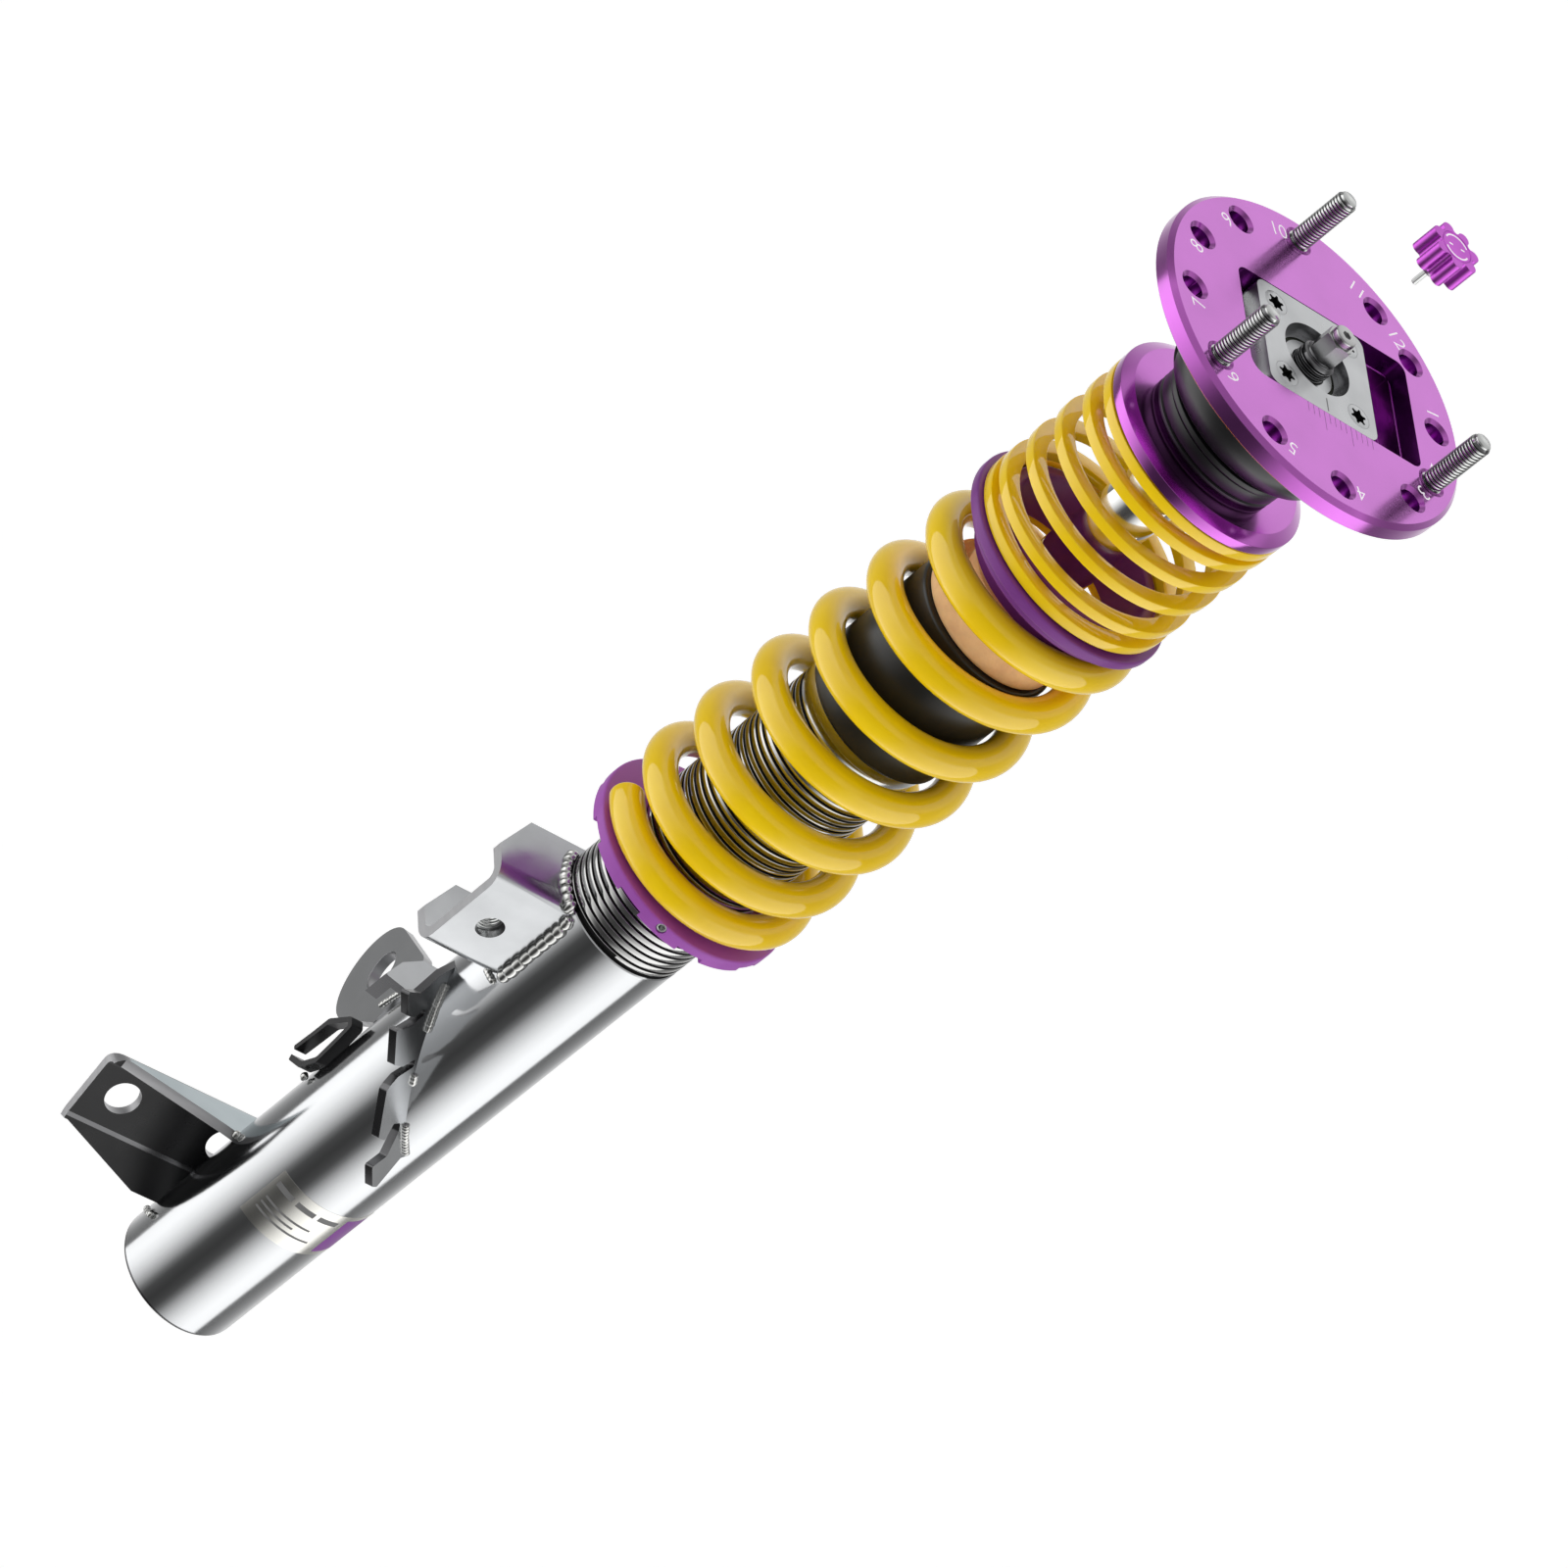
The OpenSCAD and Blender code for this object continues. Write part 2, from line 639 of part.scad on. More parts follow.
module slider_screws() {
    lobes = 6;                    // points of the star-shaped drive
    color("dimgray") for (i = [0 : 3]) rotate(45 + 90 * i) translate([screw_r, 0, 0]) difference() {
        turned([[0, 588], [2.6, 588], [2.6, plate_top - 3], [4.8, plate_top - 3],
            [4.8, plate_top - 0.5], [4.4, plate_top - 0.1], [0, plate_top - 0.1]]);
        translate([0, 0, plate_top - 2.2]) linear_extrude(3) union() {
            circle(r = 1.8, $fn = 24);
            for (k = [1 : lobes]) rotate(360 / lobes * k) translate([1.8, 0]) circle(r = 0.7, $fn = 16);
        }
    }
}

// ---- camber plate ----

module camber_plate() {
    r = plate_d / 2;
    c = 1.65;                     // chamfer round the top face
    slot_x = -5.6;                // centre of the slot
    color("mediumorchid") difference() {
        turned([[0, plate_z], [r - 0.5, plate_z], [r, plate_z + 0.5], [r, plate_top - c],
            [r - c, plate_top], [0, plate_top]]);
        translate([slot_x, 0, plate_z - 1]) linear_extrude(plate_t + 2) rounded(slot_l, slot_w, 9);
        for (a = free_angles) rotate(a) translate([stud_circle / 2, 0, 0]) {
            translate([0, 0, plate_z - 1]) cylinder(d = free_hole_d, h = plate_t + 2);
            translate([0, 0, plate_top - 1.2])
                cylinder(d1 = free_hole_d, d2 = free_hole_d + 2.8, h = 1.2 + e);
        }
        for (a = stud_angles) rotate(a) translate([stud_circle / 2, 0, plate_z - 1])
            cylinder(r = press_r, h = plate_t + 2);
    }
}

module plate_studs() {
    r = stud_d / 2;
    color("silver") for (a = stud_angles) rotate(a) translate([stud_circle / 2, 0, 0])
        turned([[0, 588.8], [6, 588.8], [6.5, 589.3], [6.5, plate_z], [press_r, plate_z],
            [press_r, plate_top], [r, plate_top], [r, stud_top - 1], [r - 1, stud_top],
            [0, stud_top]]);
}

// ---- damping adjuster ----

module adjuster_needle() {
    color("dimgray") difference() {
        turned([[0, 318], [1, 322], [needle_r, 324], [needle_r, hex_top + 0.1], [4.3, hex_top + 0.1],
            [4.3, hex_top + 2.3], [4, hex_top + 2.6], [0, hex_top + 2.6]]);
        translate([0, 0, socket_z]) cylinder(r = 1.75, h = 5, $fn = 6);
    }
}

module adjuster_knob() {
    r = knob_d / 2;
    groove = 2.7;
    lobe_angle = -21;             // direction of the first lobe
    z0 = pin_tip + 9.5;
    color("rebeccapurple") difference() {
        turned([[0, z0], [r - 1.5, z0], [r, z0 + 1.5], [r, z0 + knob_h - 1.5],
            [r - 1.5, z0 + knob_h], [0, z0 + knob_h]]);
        for (i = [0 : knob_lobes - 1]) rotate(lobe_angle + 360 / knob_lobes * (i + 0.5))
            translate([r - 0.5, 0, z0 - 1]) cylinder(r = groove, h = knob_h + 2, $fn = 32);
        translate([0, 0, z0 - e]) cylinder(r = 3, h = 6);
    }
}

module knob_pin() {
    z0 = pin_tip + 9.5;
    color("silver") union() {
        translate([0, 0, pin_tip]) cylinder(r = 1.65, h = 9, $fn = 6);
        translate([0, 0, z0 - 3]) cylinder(r = 3, h = 9 - e);
    }
}

strut_tube();
base_cap();
base_valve();
pressure_tube();
rod_guide();
rod_seal();
gland_nut();
threaded_sleeve();
end_cap();
bump_stop();
knuckle_bracket();
clevis_bracket();
clevis_nut();
stabiliser_tab();
hose_comb_bracket();
hose_arm();
hose_clip();
main_spring();
spring_perch();
perch_set_screw();
spring_coupler();
helper_spring();
piston_rod();
piston();
piston_band();
piston_nut();
rebound_stop();
bump_washer();
bearing_sleeve();
bearing_upper_race();
upper_seat();
bearing_lower_race();
bearing_balls();
swivel_ball();
swivel_liner();
swivel_race();
bearing_cup();
mount_cover();
retaining_ring();
camber_slider();
slider_screws();
camber_plate();
plate_studs();
adjuster_needle();
adjuster_knob();
knob_pin();
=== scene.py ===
"""Visual model of the height-adjustable strut.

Sizes are in millimetres and become metres when a mesh is made. The frame has +Z up the strut and
+X out over the knuckle bracket. Angles round the strut are in degrees from +X.
"""
import json
import math
import random
import bmesh
import bpy
from mathutils import Matrix, Vector


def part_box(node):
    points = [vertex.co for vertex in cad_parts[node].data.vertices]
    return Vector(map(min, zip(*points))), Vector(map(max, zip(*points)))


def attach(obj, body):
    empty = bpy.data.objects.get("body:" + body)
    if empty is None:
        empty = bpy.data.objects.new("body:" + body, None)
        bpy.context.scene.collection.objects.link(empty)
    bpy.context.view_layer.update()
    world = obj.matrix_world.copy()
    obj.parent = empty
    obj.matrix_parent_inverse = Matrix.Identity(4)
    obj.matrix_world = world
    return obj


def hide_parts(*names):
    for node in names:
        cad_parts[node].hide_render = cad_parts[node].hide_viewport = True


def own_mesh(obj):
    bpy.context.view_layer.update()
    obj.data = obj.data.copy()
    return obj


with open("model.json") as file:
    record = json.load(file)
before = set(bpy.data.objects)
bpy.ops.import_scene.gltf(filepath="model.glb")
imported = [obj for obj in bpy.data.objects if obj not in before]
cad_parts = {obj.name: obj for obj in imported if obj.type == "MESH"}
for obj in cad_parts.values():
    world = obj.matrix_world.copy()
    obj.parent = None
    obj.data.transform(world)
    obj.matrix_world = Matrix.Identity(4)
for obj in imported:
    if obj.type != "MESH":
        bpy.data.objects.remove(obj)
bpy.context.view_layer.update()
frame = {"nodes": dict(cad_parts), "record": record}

MM = 0.001
STEPS = 144                      # facets round a turned piece
LOW = {name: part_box(name)[0] / MM for name in frame["nodes"]}
HIGH = {name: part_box(name)[1] / MM for name in frame["nodes"]}

TUBE_R = HIGH["strut_tube"].x
THREAD_LOW, THREAD_HIGH = LOW["threaded_sleeve"].z, HIGH["threaded_sleeve"].z
ROD_R = HIGH["piston_rod"].x
CAP_R, CAP_TOP = HIGH["end_cap"].x, HIGH["end_cap"].z
PLATE_R, PLATE_LOW, PLATE_TOP = -LOW["camber_plate"].x, LOW["camber_plate"].z, HIGH["camber_plate"].z
STUD_CIRCLE = 54.5
STUD_ANGLES = (30, 150, 270)
FREE_ANGLES = (0, 61, 93, 132, 180, 210, 232, 300, 330)
SCREW_CIRCLE = 22.7
KNUCKLE_TILT = 17
SHEET = 4                        # thickness of the welded brackets
CLEVIS_HOLE_X, CLEVIS_HOLE_RISE = 42.8, 22
UPRIGHT = Matrix.Rotation(math.pi / 2, 4, "X")
SIDEWAYS = Matrix(((0, 0, 1, 0), (1, 0, 0, 0), (0, 1, 0, 0), (0, 0, 0, 1)))


# ---- points and outlines ----

def polar(angle, radius=1.0, z=0.0):
    a = math.radians(angle)
    return Vector((radius * math.cos(a), radius * math.sin(a), z))


def spun(angle, x, z=0.0):
    """Place at a distance from the strut's axis, turned round it by an angle."""
    return Matrix.Rotation(math.radians(angle), 4, "Z") @ Matrix.Translation((x, 0, z))


def arc(x, y, radius, start, end, steps=8):
    """Points on a circle about (x, y), from one angle to another."""
    angles = [math.radians(start + (end - start) * i / steps) for i in range(steps + 1)]
    return [(x + radius * math.cos(a), y + radius * math.sin(a)) for a in angles]


def filleted(corners, steps=6):
    """Outline through (x, y, radius) corners, each rounded to its radius."""
    points = []
    for i, (x, y, radius) in enumerate(corners):
        here = Vector((x, y))
        before = (Vector(corners[i - 1][:2]) - here).normalized()
        after = (Vector(corners[(i + 1) % len(corners)][:2]) - here).normalized()
        half = before.angle(after) / 2
        if radius == 0 or half > math.radians(89):
            points.append((x, y))
            continue
        reach = radius / math.tan(half)
        centre = here + (before + after).normalized() * radius / math.sin(half)
        a, b = here + before * reach - centre, here + after * reach - centre
        turn = math.atan2(a.x * b.y - a.y * b.x, a.dot(b))
        for k in range(steps + 1):
            c, s = math.cos(turn * k / steps), math.sin(turn * k / steps)
            points.append((centre.x + a.x * c - a.y * s, centre.y + a.x * s + a.y * c))
    return points


def strip_outline(path, thickness):
    """Outline of a bent sheet: a path of (x, y, inner radius) bends, thickened to its right."""
    points = [Vector(p[:2]) for p in path]
    left, right = [], []
    for i, p in enumerate(points):
        a = (points[i] - points[i - 1]).normalized() if i else (points[1] - points[0]).normalized()
        b = (points[i + 1] - p).normalized() if i < len(points) - 1 else a
        normal = Vector((a.y + b.y, -a.x - b.x)).normalized()
        offset = normal * thickness / max(0.2, normal.dot(Vector((b.y, -b.x))))
        bend = path[i][2]
        inside_right = a.x * b.y - a.y * b.x < 0
        outer_bend = bend + thickness if bend else bend
        left.append((p.x, p.y, outer_bend if inside_right else bend))
        right.append((p.x + offset.x, p.y + offset.y, bend if inside_right else outer_bend))
    return filleted(left + right[::-1])


# ---- meshes ----

def new_piece(name, bm, sharp=32):
    """Object from a finished bmesh, smooth except over sharp edges."""
    bmesh.ops.recalc_face_normals(bm, faces=bm.faces)
    mesh = bpy.data.meshes.new(name)
    bm.to_mesh(mesh)
    bm.free()
    obj = bpy.data.objects.new(name, mesh)
    bpy.context.scene.collection.objects.link(obj)
    shade(obj, sharp)
    return obj


def shade(obj, sharp=32):
    obj.data.shade_smooth()
    obj.data.set_sharp_from_angle(angle=math.radians(sharp))


def soften(obj, width, segments=2, angle=30):
    """Rounds the edges of a piece."""
    bevel = obj.modifiers.new("soft_edges", "BEVEL")
    bevel.width = width * MM
    bevel.segments = segments
    bevel.limit_method = "ANGLE"
    bevel.angle_limit = math.radians(angle)
    bevel.harden_normals = True
    bevel.use_clamp_overlap = True
    return obj


def bridge(bm, first, second):
    """Faces between two closed rows of vertices."""
    for i in range(len(first)):
        k = (i + 1) % len(first)
        bm.faces.new((first[i], first[k], second[k], second[i]))


def turned(outline, steps=STEPS):
    """Closed surface of revolution from an outline of (radius, z) points."""
    bm = bmesh.new()
    rings = [[bm.verts.new(polar(360 * i / steps, r, z) * MM) for i in range(steps)] for r, z in outline]
    for j, ring in enumerate(rings):
        bridge(bm, ring, rings[(j + 1) % len(rings)])
    bmesh.ops.remove_doubles(bm, verts=bm.verts, dist=1e-7)
    bmesh.ops.dissolve_degenerate(bm, edges=bm.edges, dist=1e-7)
    return bm


def between(outlines, heights, place):
    """Solid between two (x, y) outlines at two heights, moved by a matrix in millimetres."""
    place = place or Matrix.Identity(4)
    bm = bmesh.new()
    bottom, top = [[bm.verts.new((place @ Vector((x, y, z))) * MM) for x, y in outline]
                   for outline, z in zip(outlines, heights)]
    bm.faces.new(bottom[::-1])
    bm.faces.new(top)
    bridge(bm, bottom, top)
    return bm


def prism(outline, low, high, place=None):
    return between((outline, outline), (low, high), place)


def box(left, front, right, back, low, high, place=None):
    return prism([(left, front), (right, front), (right, back), (left, back)], low, high, place)


def rod_between(radius, low, high, place=None, sides=48, top_radius=None):
    """Cylinder or cone along Z, moved by a matrix in millimetres."""
    radii = (radius, radius if top_radius is None else top_radius)
    rings = [[polar(360 * i / sides, r).xy for i in range(sides)] for r in radii]
    return between(rings, (low, high), place)


def carve(obj, *tools, operation="DIFFERENCE", sharp=32):
    """Cuts the tool meshes from a piece, or keeps what is common, one after another."""
    cutters = [new_piece("tool", bm) for bm in tools]
    for cutter in cutters:
        step = obj.modifiers.new("carve", "BOOLEAN")
        step.operation = operation
        step.solver = "EXACT"
        step.object = cutter
    graph = bpy.context.evaluated_depsgraph_get()
    mesh = bpy.data.meshes.new_from_object(obj.evaluated_get(graph))
    mesh.name = obj.name
    obj.modifiers.clear()
    obj.data = mesh
    for cutter in cutters:
        bpy.data.objects.remove(cutter)
    shade(obj, sharp)
    return obj


def joined(*parts):
    """One bmesh from several."""
    whole = bmesh.new()
    for part in parts:
        mesh = bpy.data.meshes.new("part")
        part.to_mesh(mesh)
        part.free()
        whole.from_mesh(mesh)
        bpy.data.meshes.remove(mesh)
    return whole


def moved(bm, place):
    """Moves a mesh by a matrix in millimetres."""
    bmesh.ops.transform(bm, matrix=Matrix.Scale(MM, 4) @ place @ Matrix.Scale(1 / MM, 4), verts=bm.verts)
    return bm


def at_height(part, z):
    return all(abs(v.co.z / MM - z) < 1e-4 for v in part.verts)


def smoothstep(x):
    x = min(1.0, max(0.0, x))
    return x * x * (3 - 2 * x)


def grow(bm, height, outline):
    """Continues the open round edge at a height through rings of (radius, z)."""
    for r, z in outline:
        rim = [e for e in bm.edges if e.is_boundary and at_height(e, height)]
        made = bmesh.ops.extrude_edge_only(bm, edges=rim)["geom"]
        for vert in (g for g in made if isinstance(g, bmesh.types.BMVert)):
            flat = Vector((vert.co.x, vert.co.y, 0)).normalized() * r * MM
            vert.co = (flat.x, flat.y, z * MM)
        height = z


THREAD_FORM = ((0.0, 0.0), (0.05, 0.12), (0.17, 0.92), (0.22, 1.0), (0.78, 1.0), (0.83, 0.92), (0.95, 0.12))


def thread(r_root, r_crest, low, high, pitch, steps=72):
    """Open helical thread surface between two heights, running out at both ends."""
    turns = math.ceil((high - low) / pitch) + 2
    count = len(THREAD_FORM)
    bm = bmesh.new()
    verts = []
    for s in range((turns + 1) * steps + 1):
        row = []
        for phase, level in THREAD_FORM:
            z = low - pitch + pitch * (s / steps + phase)
            z = min(max(z, low), high)
            fade = smoothstep((z - low) / (0.8 * pitch)) * smoothstep((high - z) / (0.8 * pitch))
            r = r_root + (r_crest - r_root) * level * fade
            row.append(bm.verts.new(polar(360 * s / steps, r, z) * MM))
        verts.append(row)
    for s in range(turns * steps):
        for j in range(count):
            nxt = (s, j + 1) if j < count - 1 else (s + steps, 0)
            a, b = verts[s][j], verts[s + 1][j]
            c, d = verts[nxt[0] + 1][nxt[1]], verts[nxt[0]][nxt[1]]
            bm.faces.new((a, b, c, d))
    bmesh.ops.delete(bm, geom=[v for v in bm.verts if not v.link_faces], context="VERTS")
    bmesh.ops.remove_doubles(bm, verts=bm.verts, dist=2e-7)
    bmesh.ops.dissolve_degenerate(bm, edges=bm.edges, dist=2e-7)
    flat = [f for f in bm.faces if at_height(f, low) or at_height(f, high)]
    bmesh.ops.delete(bm, geom=flat, context="FACES")
    return bm


def swept(path, section):
    """Solid along frames (point, across, up); section gives (across, up) offsets for a row number."""
    bm = bmesh.new()
    rows = []
    for i, (point, across, up) in enumerate(path):
        rows.append([bm.verts.new((point + across * a + up * b) * MM) for a, b in section(i)])
    for first, second in zip(rows, rows[1:]):
        bridge(bm, first, second)
    bm.faces.new(rows[0][::-1])
    bm.faces.new(rows[-1])
    return bm


def height_at(knots, n):
    """Height on a smooth curve through (turns, height) knots."""
    def slope(i):
        return (knots[i + 1][1] - knots[i][1]) / (knots[i + 1][0] - knots[i][0])

    def grade(i):
        if i == 0:
            return slope(0)
        if i == len(knots) - 1:
            return slope(i - 1)
        return 2 * slope(i - 1) * slope(i) / (slope(i - 1) + slope(i) + 1e-6)

    i = max(k for k in range(len(knots) - 1) if k == 0 or n > knots[k][0])
    w = knots[i + 1][0] - knots[i][0]
    t = (n - knots[i][0]) / w
    return ((1 + 2 * t) * (1 - t) ** 2 * knots[i][1] + t * (1 - t) ** 2 * w * grade(i)
            + t * t * (3 - 2 * t) * knots[i + 1][1] + t * t * (t - 1) * w * grade(i + 1))


def coil_path(knots, radius, start, per_turn, end_steps):
    """Frames along a coil spring's wire, closest near its ends, and each one's distance to an end."""
    total = knots[-1][0]
    length = 2 * math.pi * radius
    turns = [i / per_turn for i in range(int(total * per_turn) + 1)]
    near = [d / length for d in end_steps]
    middle = [n for n in turns if near[-1] < n < total - near[-1]]
    turns = sorted(set(near + [total - d for d in near] + middle))
    path, ends = [], []
    for n in turns:
        angle = start + 360 * n
        before, after = max(0, n - 1e-3), min(total, n + 1e-3)
        rise = height_at(knots, after) - height_at(knots, before)
        rise /= (after - before) * length
        along = (polar(angle + 90) + Vector((0, 0, rise))).normalized()
        out = polar(angle)
        path.append((polar(angle, radius, height_at(knots, n)), out, out.cross(along)))
        ends.append(min(n, total - n) * length)
    return path, ends


def weld_path(points, steps):
    """Evenly spaced points on a polyline."""
    points = [Vector(p) for p in points]
    spans = [(b - a).length for a, b in zip(points, points[1:])]
    out = []
    for i in range(steps + 1):
        d = sum(spans) * i / steps
        k = 0
        while k < len(spans) - 1 and d > spans[k]:
            d -= spans[k]
            k += 1
        out.append(points[k].lerp(points[k + 1], min(1, d / spans[k])))
    return out


def weld(points, radius, ripple=2.2, seed=1):
    """Weld bead along a polyline: overlapping ripples of uneven size, with round ends."""
    rng = random.Random(seed)
    length = sum((Vector(b) - Vector(a)).length for a, b in zip(points, points[1:]))
    steps = max(12, int(length / 0.3))
    route = weld_path(points, steps)
    ripples = [0.9 + 0.2 * rng.random() for _ in range(int(length / ripple) + 2)]
    path, sizes = [], []
    for i, p in enumerate(route):
        along = (route[min(steps, i + 2)] - route[max(0, i - 2)]).normalized()
        out = Vector((p.x, p.y, 0)).normalized()
        side = along.cross(out).normalized()
        path.append((p, side, side.cross(along)))
        d = length * i / steps
        phase = d / ripple % 1.0
        bead = 0.72 + 0.28 * math.sqrt(max(0.0, 1 - (2 * phase - 1) ** 2)) + 0.05 * phase
        end = min(d, length - d) / radius
        tip = math.sqrt(max(0.02, 1 - (1 - min(1, end)) ** 2))
        sizes.append(radius * bead * tip * ripples[int(d / ripple)])

    def section(i):
        return [(sizes[i] * math.cos(2 * math.pi * k / 14), 0.8 * sizes[i] * math.sin(2 * math.pi * k / 14))
                for k in range(14)]
    return swept(path, section)


# ---- materials ----

def material(name, colour, metallic=0.0, roughness=0.4, **inputs):
    """Principled material; further inputs are given by their socket names with spaces as underscores."""
    made = bpy.data.materials.new(name)
    made.use_nodes = True
    shader = made.node_tree.nodes["Principled BSDF"]
    shader.inputs["Base Color"].default_value = (*colour, 1)
    shader.inputs["Metallic"].default_value = metallic
    shader.inputs["Roughness"].default_value = roughness
    for key, value in inputs.items():
        shader.inputs[key.replace("_", " ")].default_value = value
    return made


def add_node(made, kind, **inputs):
    node = made.node_tree.nodes.new("ShaderNode" + kind)
    for key, value in inputs.items():
        node.inputs[key].default_value = value
    return node


def link(made, source, target):
    made.node_tree.links.new(source, target)


def noise(made, scale, detail=3.0, stretch=(1, 1, 1)):
    """Noise factor in object space, in features per metre, optionally stretched along an axis."""
    place = add_node(made, "TexCoord")
    mapping = add_node(made, "Mapping", Scale=stretch)
    texture = add_node(made, "TexNoise", Scale=scale, Detail=detail)
    link(made, place.outputs["Object"], mapping.inputs["Vector"])
    link(made, mapping.outputs["Vector"], texture.inputs["Vector"])
    return texture.outputs["Fac"]


def vary_roughness(made, low, high, scale, stretch=(1, 1, 1)):
    remap = add_node(made, "MapRange", **{"From Min": 0.3, "From Max": 0.7, "To Min": low, "To Max": high})
    link(made, noise(made, scale, 4.0, stretch), remap.inputs["Value"])
    link(made, remap.outputs["Result"], made.node_tree.nodes["Principled BSDF"].inputs["Roughness"])


def vary_colour(made, first, second, scale, stretch=(1, 1, 1)):
    ramp = add_node(made, "ValToRGB")
    ramp.color_ramp.elements[0].position = 0.35
    ramp.color_ramp.elements[0].color = (*first, 1)
    ramp.color_ramp.elements[1].position = 0.65
    ramp.color_ramp.elements[1].color = (*second, 1)
    link(made, noise(made, scale, 4.0, stretch), ramp.inputs["Fac"])
    link(made, ramp.outputs["Color"], made.node_tree.nodes["Principled BSDF"].inputs["Base Color"])


def grain(made, scale, depth, strength=0.5, stretch=(1, 1, 1), detail=3.0):
    """Fine bump; depth is in millimetres."""
    bump = add_node(made, "Bump", Strength=strength, Distance=depth * MM)
    link(made, noise(made, scale, detail, stretch), bump.inputs["Height"])
    link(made, bump.outputs["Normal"], made.node_tree.nodes["Principled BSDF"].inputs["Normal"])


def tinted(colour, factor):
    return tuple(min(1.0, c * factor) for c in colour)


def metal(name, colour, roughness, spread, scale=60, grain_scale=900, depth=0.02, stretch=(1, 1, 1),
          tone=0.05, **inputs):
    """Metal with uneven polish, a slight change of tone and fine grain."""
    made = material(name, colour, metallic=1.0, roughness=roughness, **inputs)
    vary_roughness(made, roughness - spread, roughness + spread, scale, stretch)
    vary_colour(made, tinted(colour, 1 - tone), tinted(colour, 1 + tone), scale * 0.7, stretch)
    grain(made, grain_scale, depth, 0.35, stretch)
    return made


def plastic(name, colour, roughness, spread, depth=0.03, tone=0.06, **inputs):
    """Plastic, rubber, paint or ink with a fine grain."""
    made = material(name, colour, roughness=roughness, **inputs)
    vary_roughness(made, roughness - spread, roughness + spread, 90)
    vary_colour(made, tinted(colour, 1 - tone), tinted(colour, 1 + tone), 45)
    grain(made, 1400, depth, 0.4)
    return made


def foam(name, colour):
    """Closed-cell foam: pores of uneven depth with a soft skin."""
    made = material(name, colour, roughness=0.75, Subsurface_Weight=0.15, Subsurface_Scale=0.004)
    vary_colour(made, tinted(colour, 0.86), tinted(colour, 1.06), 160)
    cells = add_node(made, "TexVoronoi", Scale=900.0)
    place = add_node(made, "TexCoord")
    bump = add_node(made, "Bump", Strength=0.6, Distance=0.15 * MM)
    link(made, place.outputs["Object"], cells.inputs["Vector"])
    link(made, cells.outputs["Distance"], bump.inputs["Height"])
    link(made, bump.outputs["Normal"], made.node_tree.nodes["Principled BSDF"].inputs["Normal"])
    return made


def powder_coat(name, colour):
    """Thick gloss powder coat with its faint orange-peel waviness."""
    made = material(name, colour, roughness=0.4, Coat_Weight=1.0, Coat_Roughness=0.03, Coat_IOR=1.6,
                    Specular_IOR_Level=0.05)
    vary_colour(made, tinted(colour, 0.95), tinted(colour, 1.03), 40)
    vary_roughness(made, 0.35, 0.46, 120)
    grain(made, 260, 0.03, 0.3, detail=1.0)
    return made


VIOLET = (0.56, 0.135, 0.60)
MATERIALS = {
    "polished_steel": metal("polished_steel", (0.60, 0.61, 0.62), 0.14, 0.03, scale=30, depth=0.006,
                            stretch=(1, 1, 0.25), tone=0.03),
    "thread_steel": metal("thread_steel", (0.58, 0.58, 0.57), 0.16, 0.04, depth=0.01),
    "plated_steel": metal("plated_steel", (0.60, 0.61, 0.60), 0.2, 0.06),
    "dark_sheet": plastic("dark_sheet", (0.012, 0.012, 0.013), 0.3, 0.05, depth=0.01,
                          Specular_IOR_Level=0.3),
    "grey_sheet": metal("grey_sheet", (0.47, 0.48, 0.49), 0.2, 0.06, scale=45, depth=0.015, tone=0.08),
    "chrome_rod": metal("chrome_rod", (0.80, 0.80, 0.79), 0.07, 0.02, depth=0.003, tone=0.02),
    "black_alloy": plastic("black_alloy", (0.009, 0.009, 0.0095), 0.34, 0.05, depth=0.01, Coat_Weight=0.3,
                           Coat_Roughness=0.3),
    "black_plastic": plastic("black_plastic", (0.012, 0.012, 0.012), 0.33, 0.05, depth=0.01),
    "spring_yellow": powder_coat("spring_yellow", (1.0, 0.66, 0.002)),
    "violet_plastic": plastic("violet_plastic", (0.38, 0.075, 0.46), 0.42, 0.05, depth=0.01),
    "violet_dark": plastic("violet_dark", (0.20, 0.03, 0.25), 0.38, 0.05, depth=0.01),
    "violet_anodised": metal("violet_anodised", VIOLET, 0.2, 0.03, depth=0.004, tone=0.03,
                             Coat_Weight=0.6, Coat_Roughness=0.15),
    "violet_seat": metal("violet_seat", VIOLET, 0.16, 0.03, depth=0.004, tone=0.03, Coat_Weight=0.6,
                         Coat_Roughness=0.1),
    "foam_orange": foam("foam_orange", (1.0, 0.62, 0.32)),
    "seal_rubber": plastic("seal_rubber", (0.015, 0.015, 0.015), 0.5, 0.06),
    "bearing_steel": metal("bearing_steel", (0.55, 0.56, 0.57), 0.3, 0.05, scale=80, depth=0.01),
    "liner_polymer": plastic("liner_polymer", (0.08, 0.09, 0.06), 0.6, 0.06),
    "screw_steel": metal("screw_steel", (0.10, 0.10, 0.105), 0.28, 0.05, depth=0.02),
    "white_polymer": plastic("white_polymer", (0.78, 0.78, 0.75), 0.45, 0.05),
}
# Dark metal: black oxide on threads, sheet edges and the cup's top. The same material is also a painted
# highlight along the knuckle bracket's bend and painted shade on the slider's recess wall.
BLACK_OXIDE_AND_PAINTED_LIGHT = metal("black_oxide_and_painted_light", (0.16, 0.16, 0.165), 0.26, 0.05, depth=0.02)
CUT_EDGE = metal("cut_edge", (0.42, 0.42, 0.43), 0.34, 0.06, scale=150, depth=0.03, stretch=(1, 1, 3))
WELD_METAL = metal("weld_metal", (0.62, 0.62, 0.60), 0.16, 0.06, scale=200, grain_scale=500, depth=0.05,
                   tone=0.12)
# White print ink with a faint emission: the glow is painted light that brightens the print.
INK_WHITE_PAINTED_GLOW = plastic("ink_white_painted_glow", (0.92, 0.88, 0.93), 0.6, 0.05, Emission_Color=(1, 0.95, 1, 1),
                    Emission_Strength=0.35)
INK_DARK = plastic("ink_dark", (0.10, 0.01, 0.14), 0.5, 0.05)
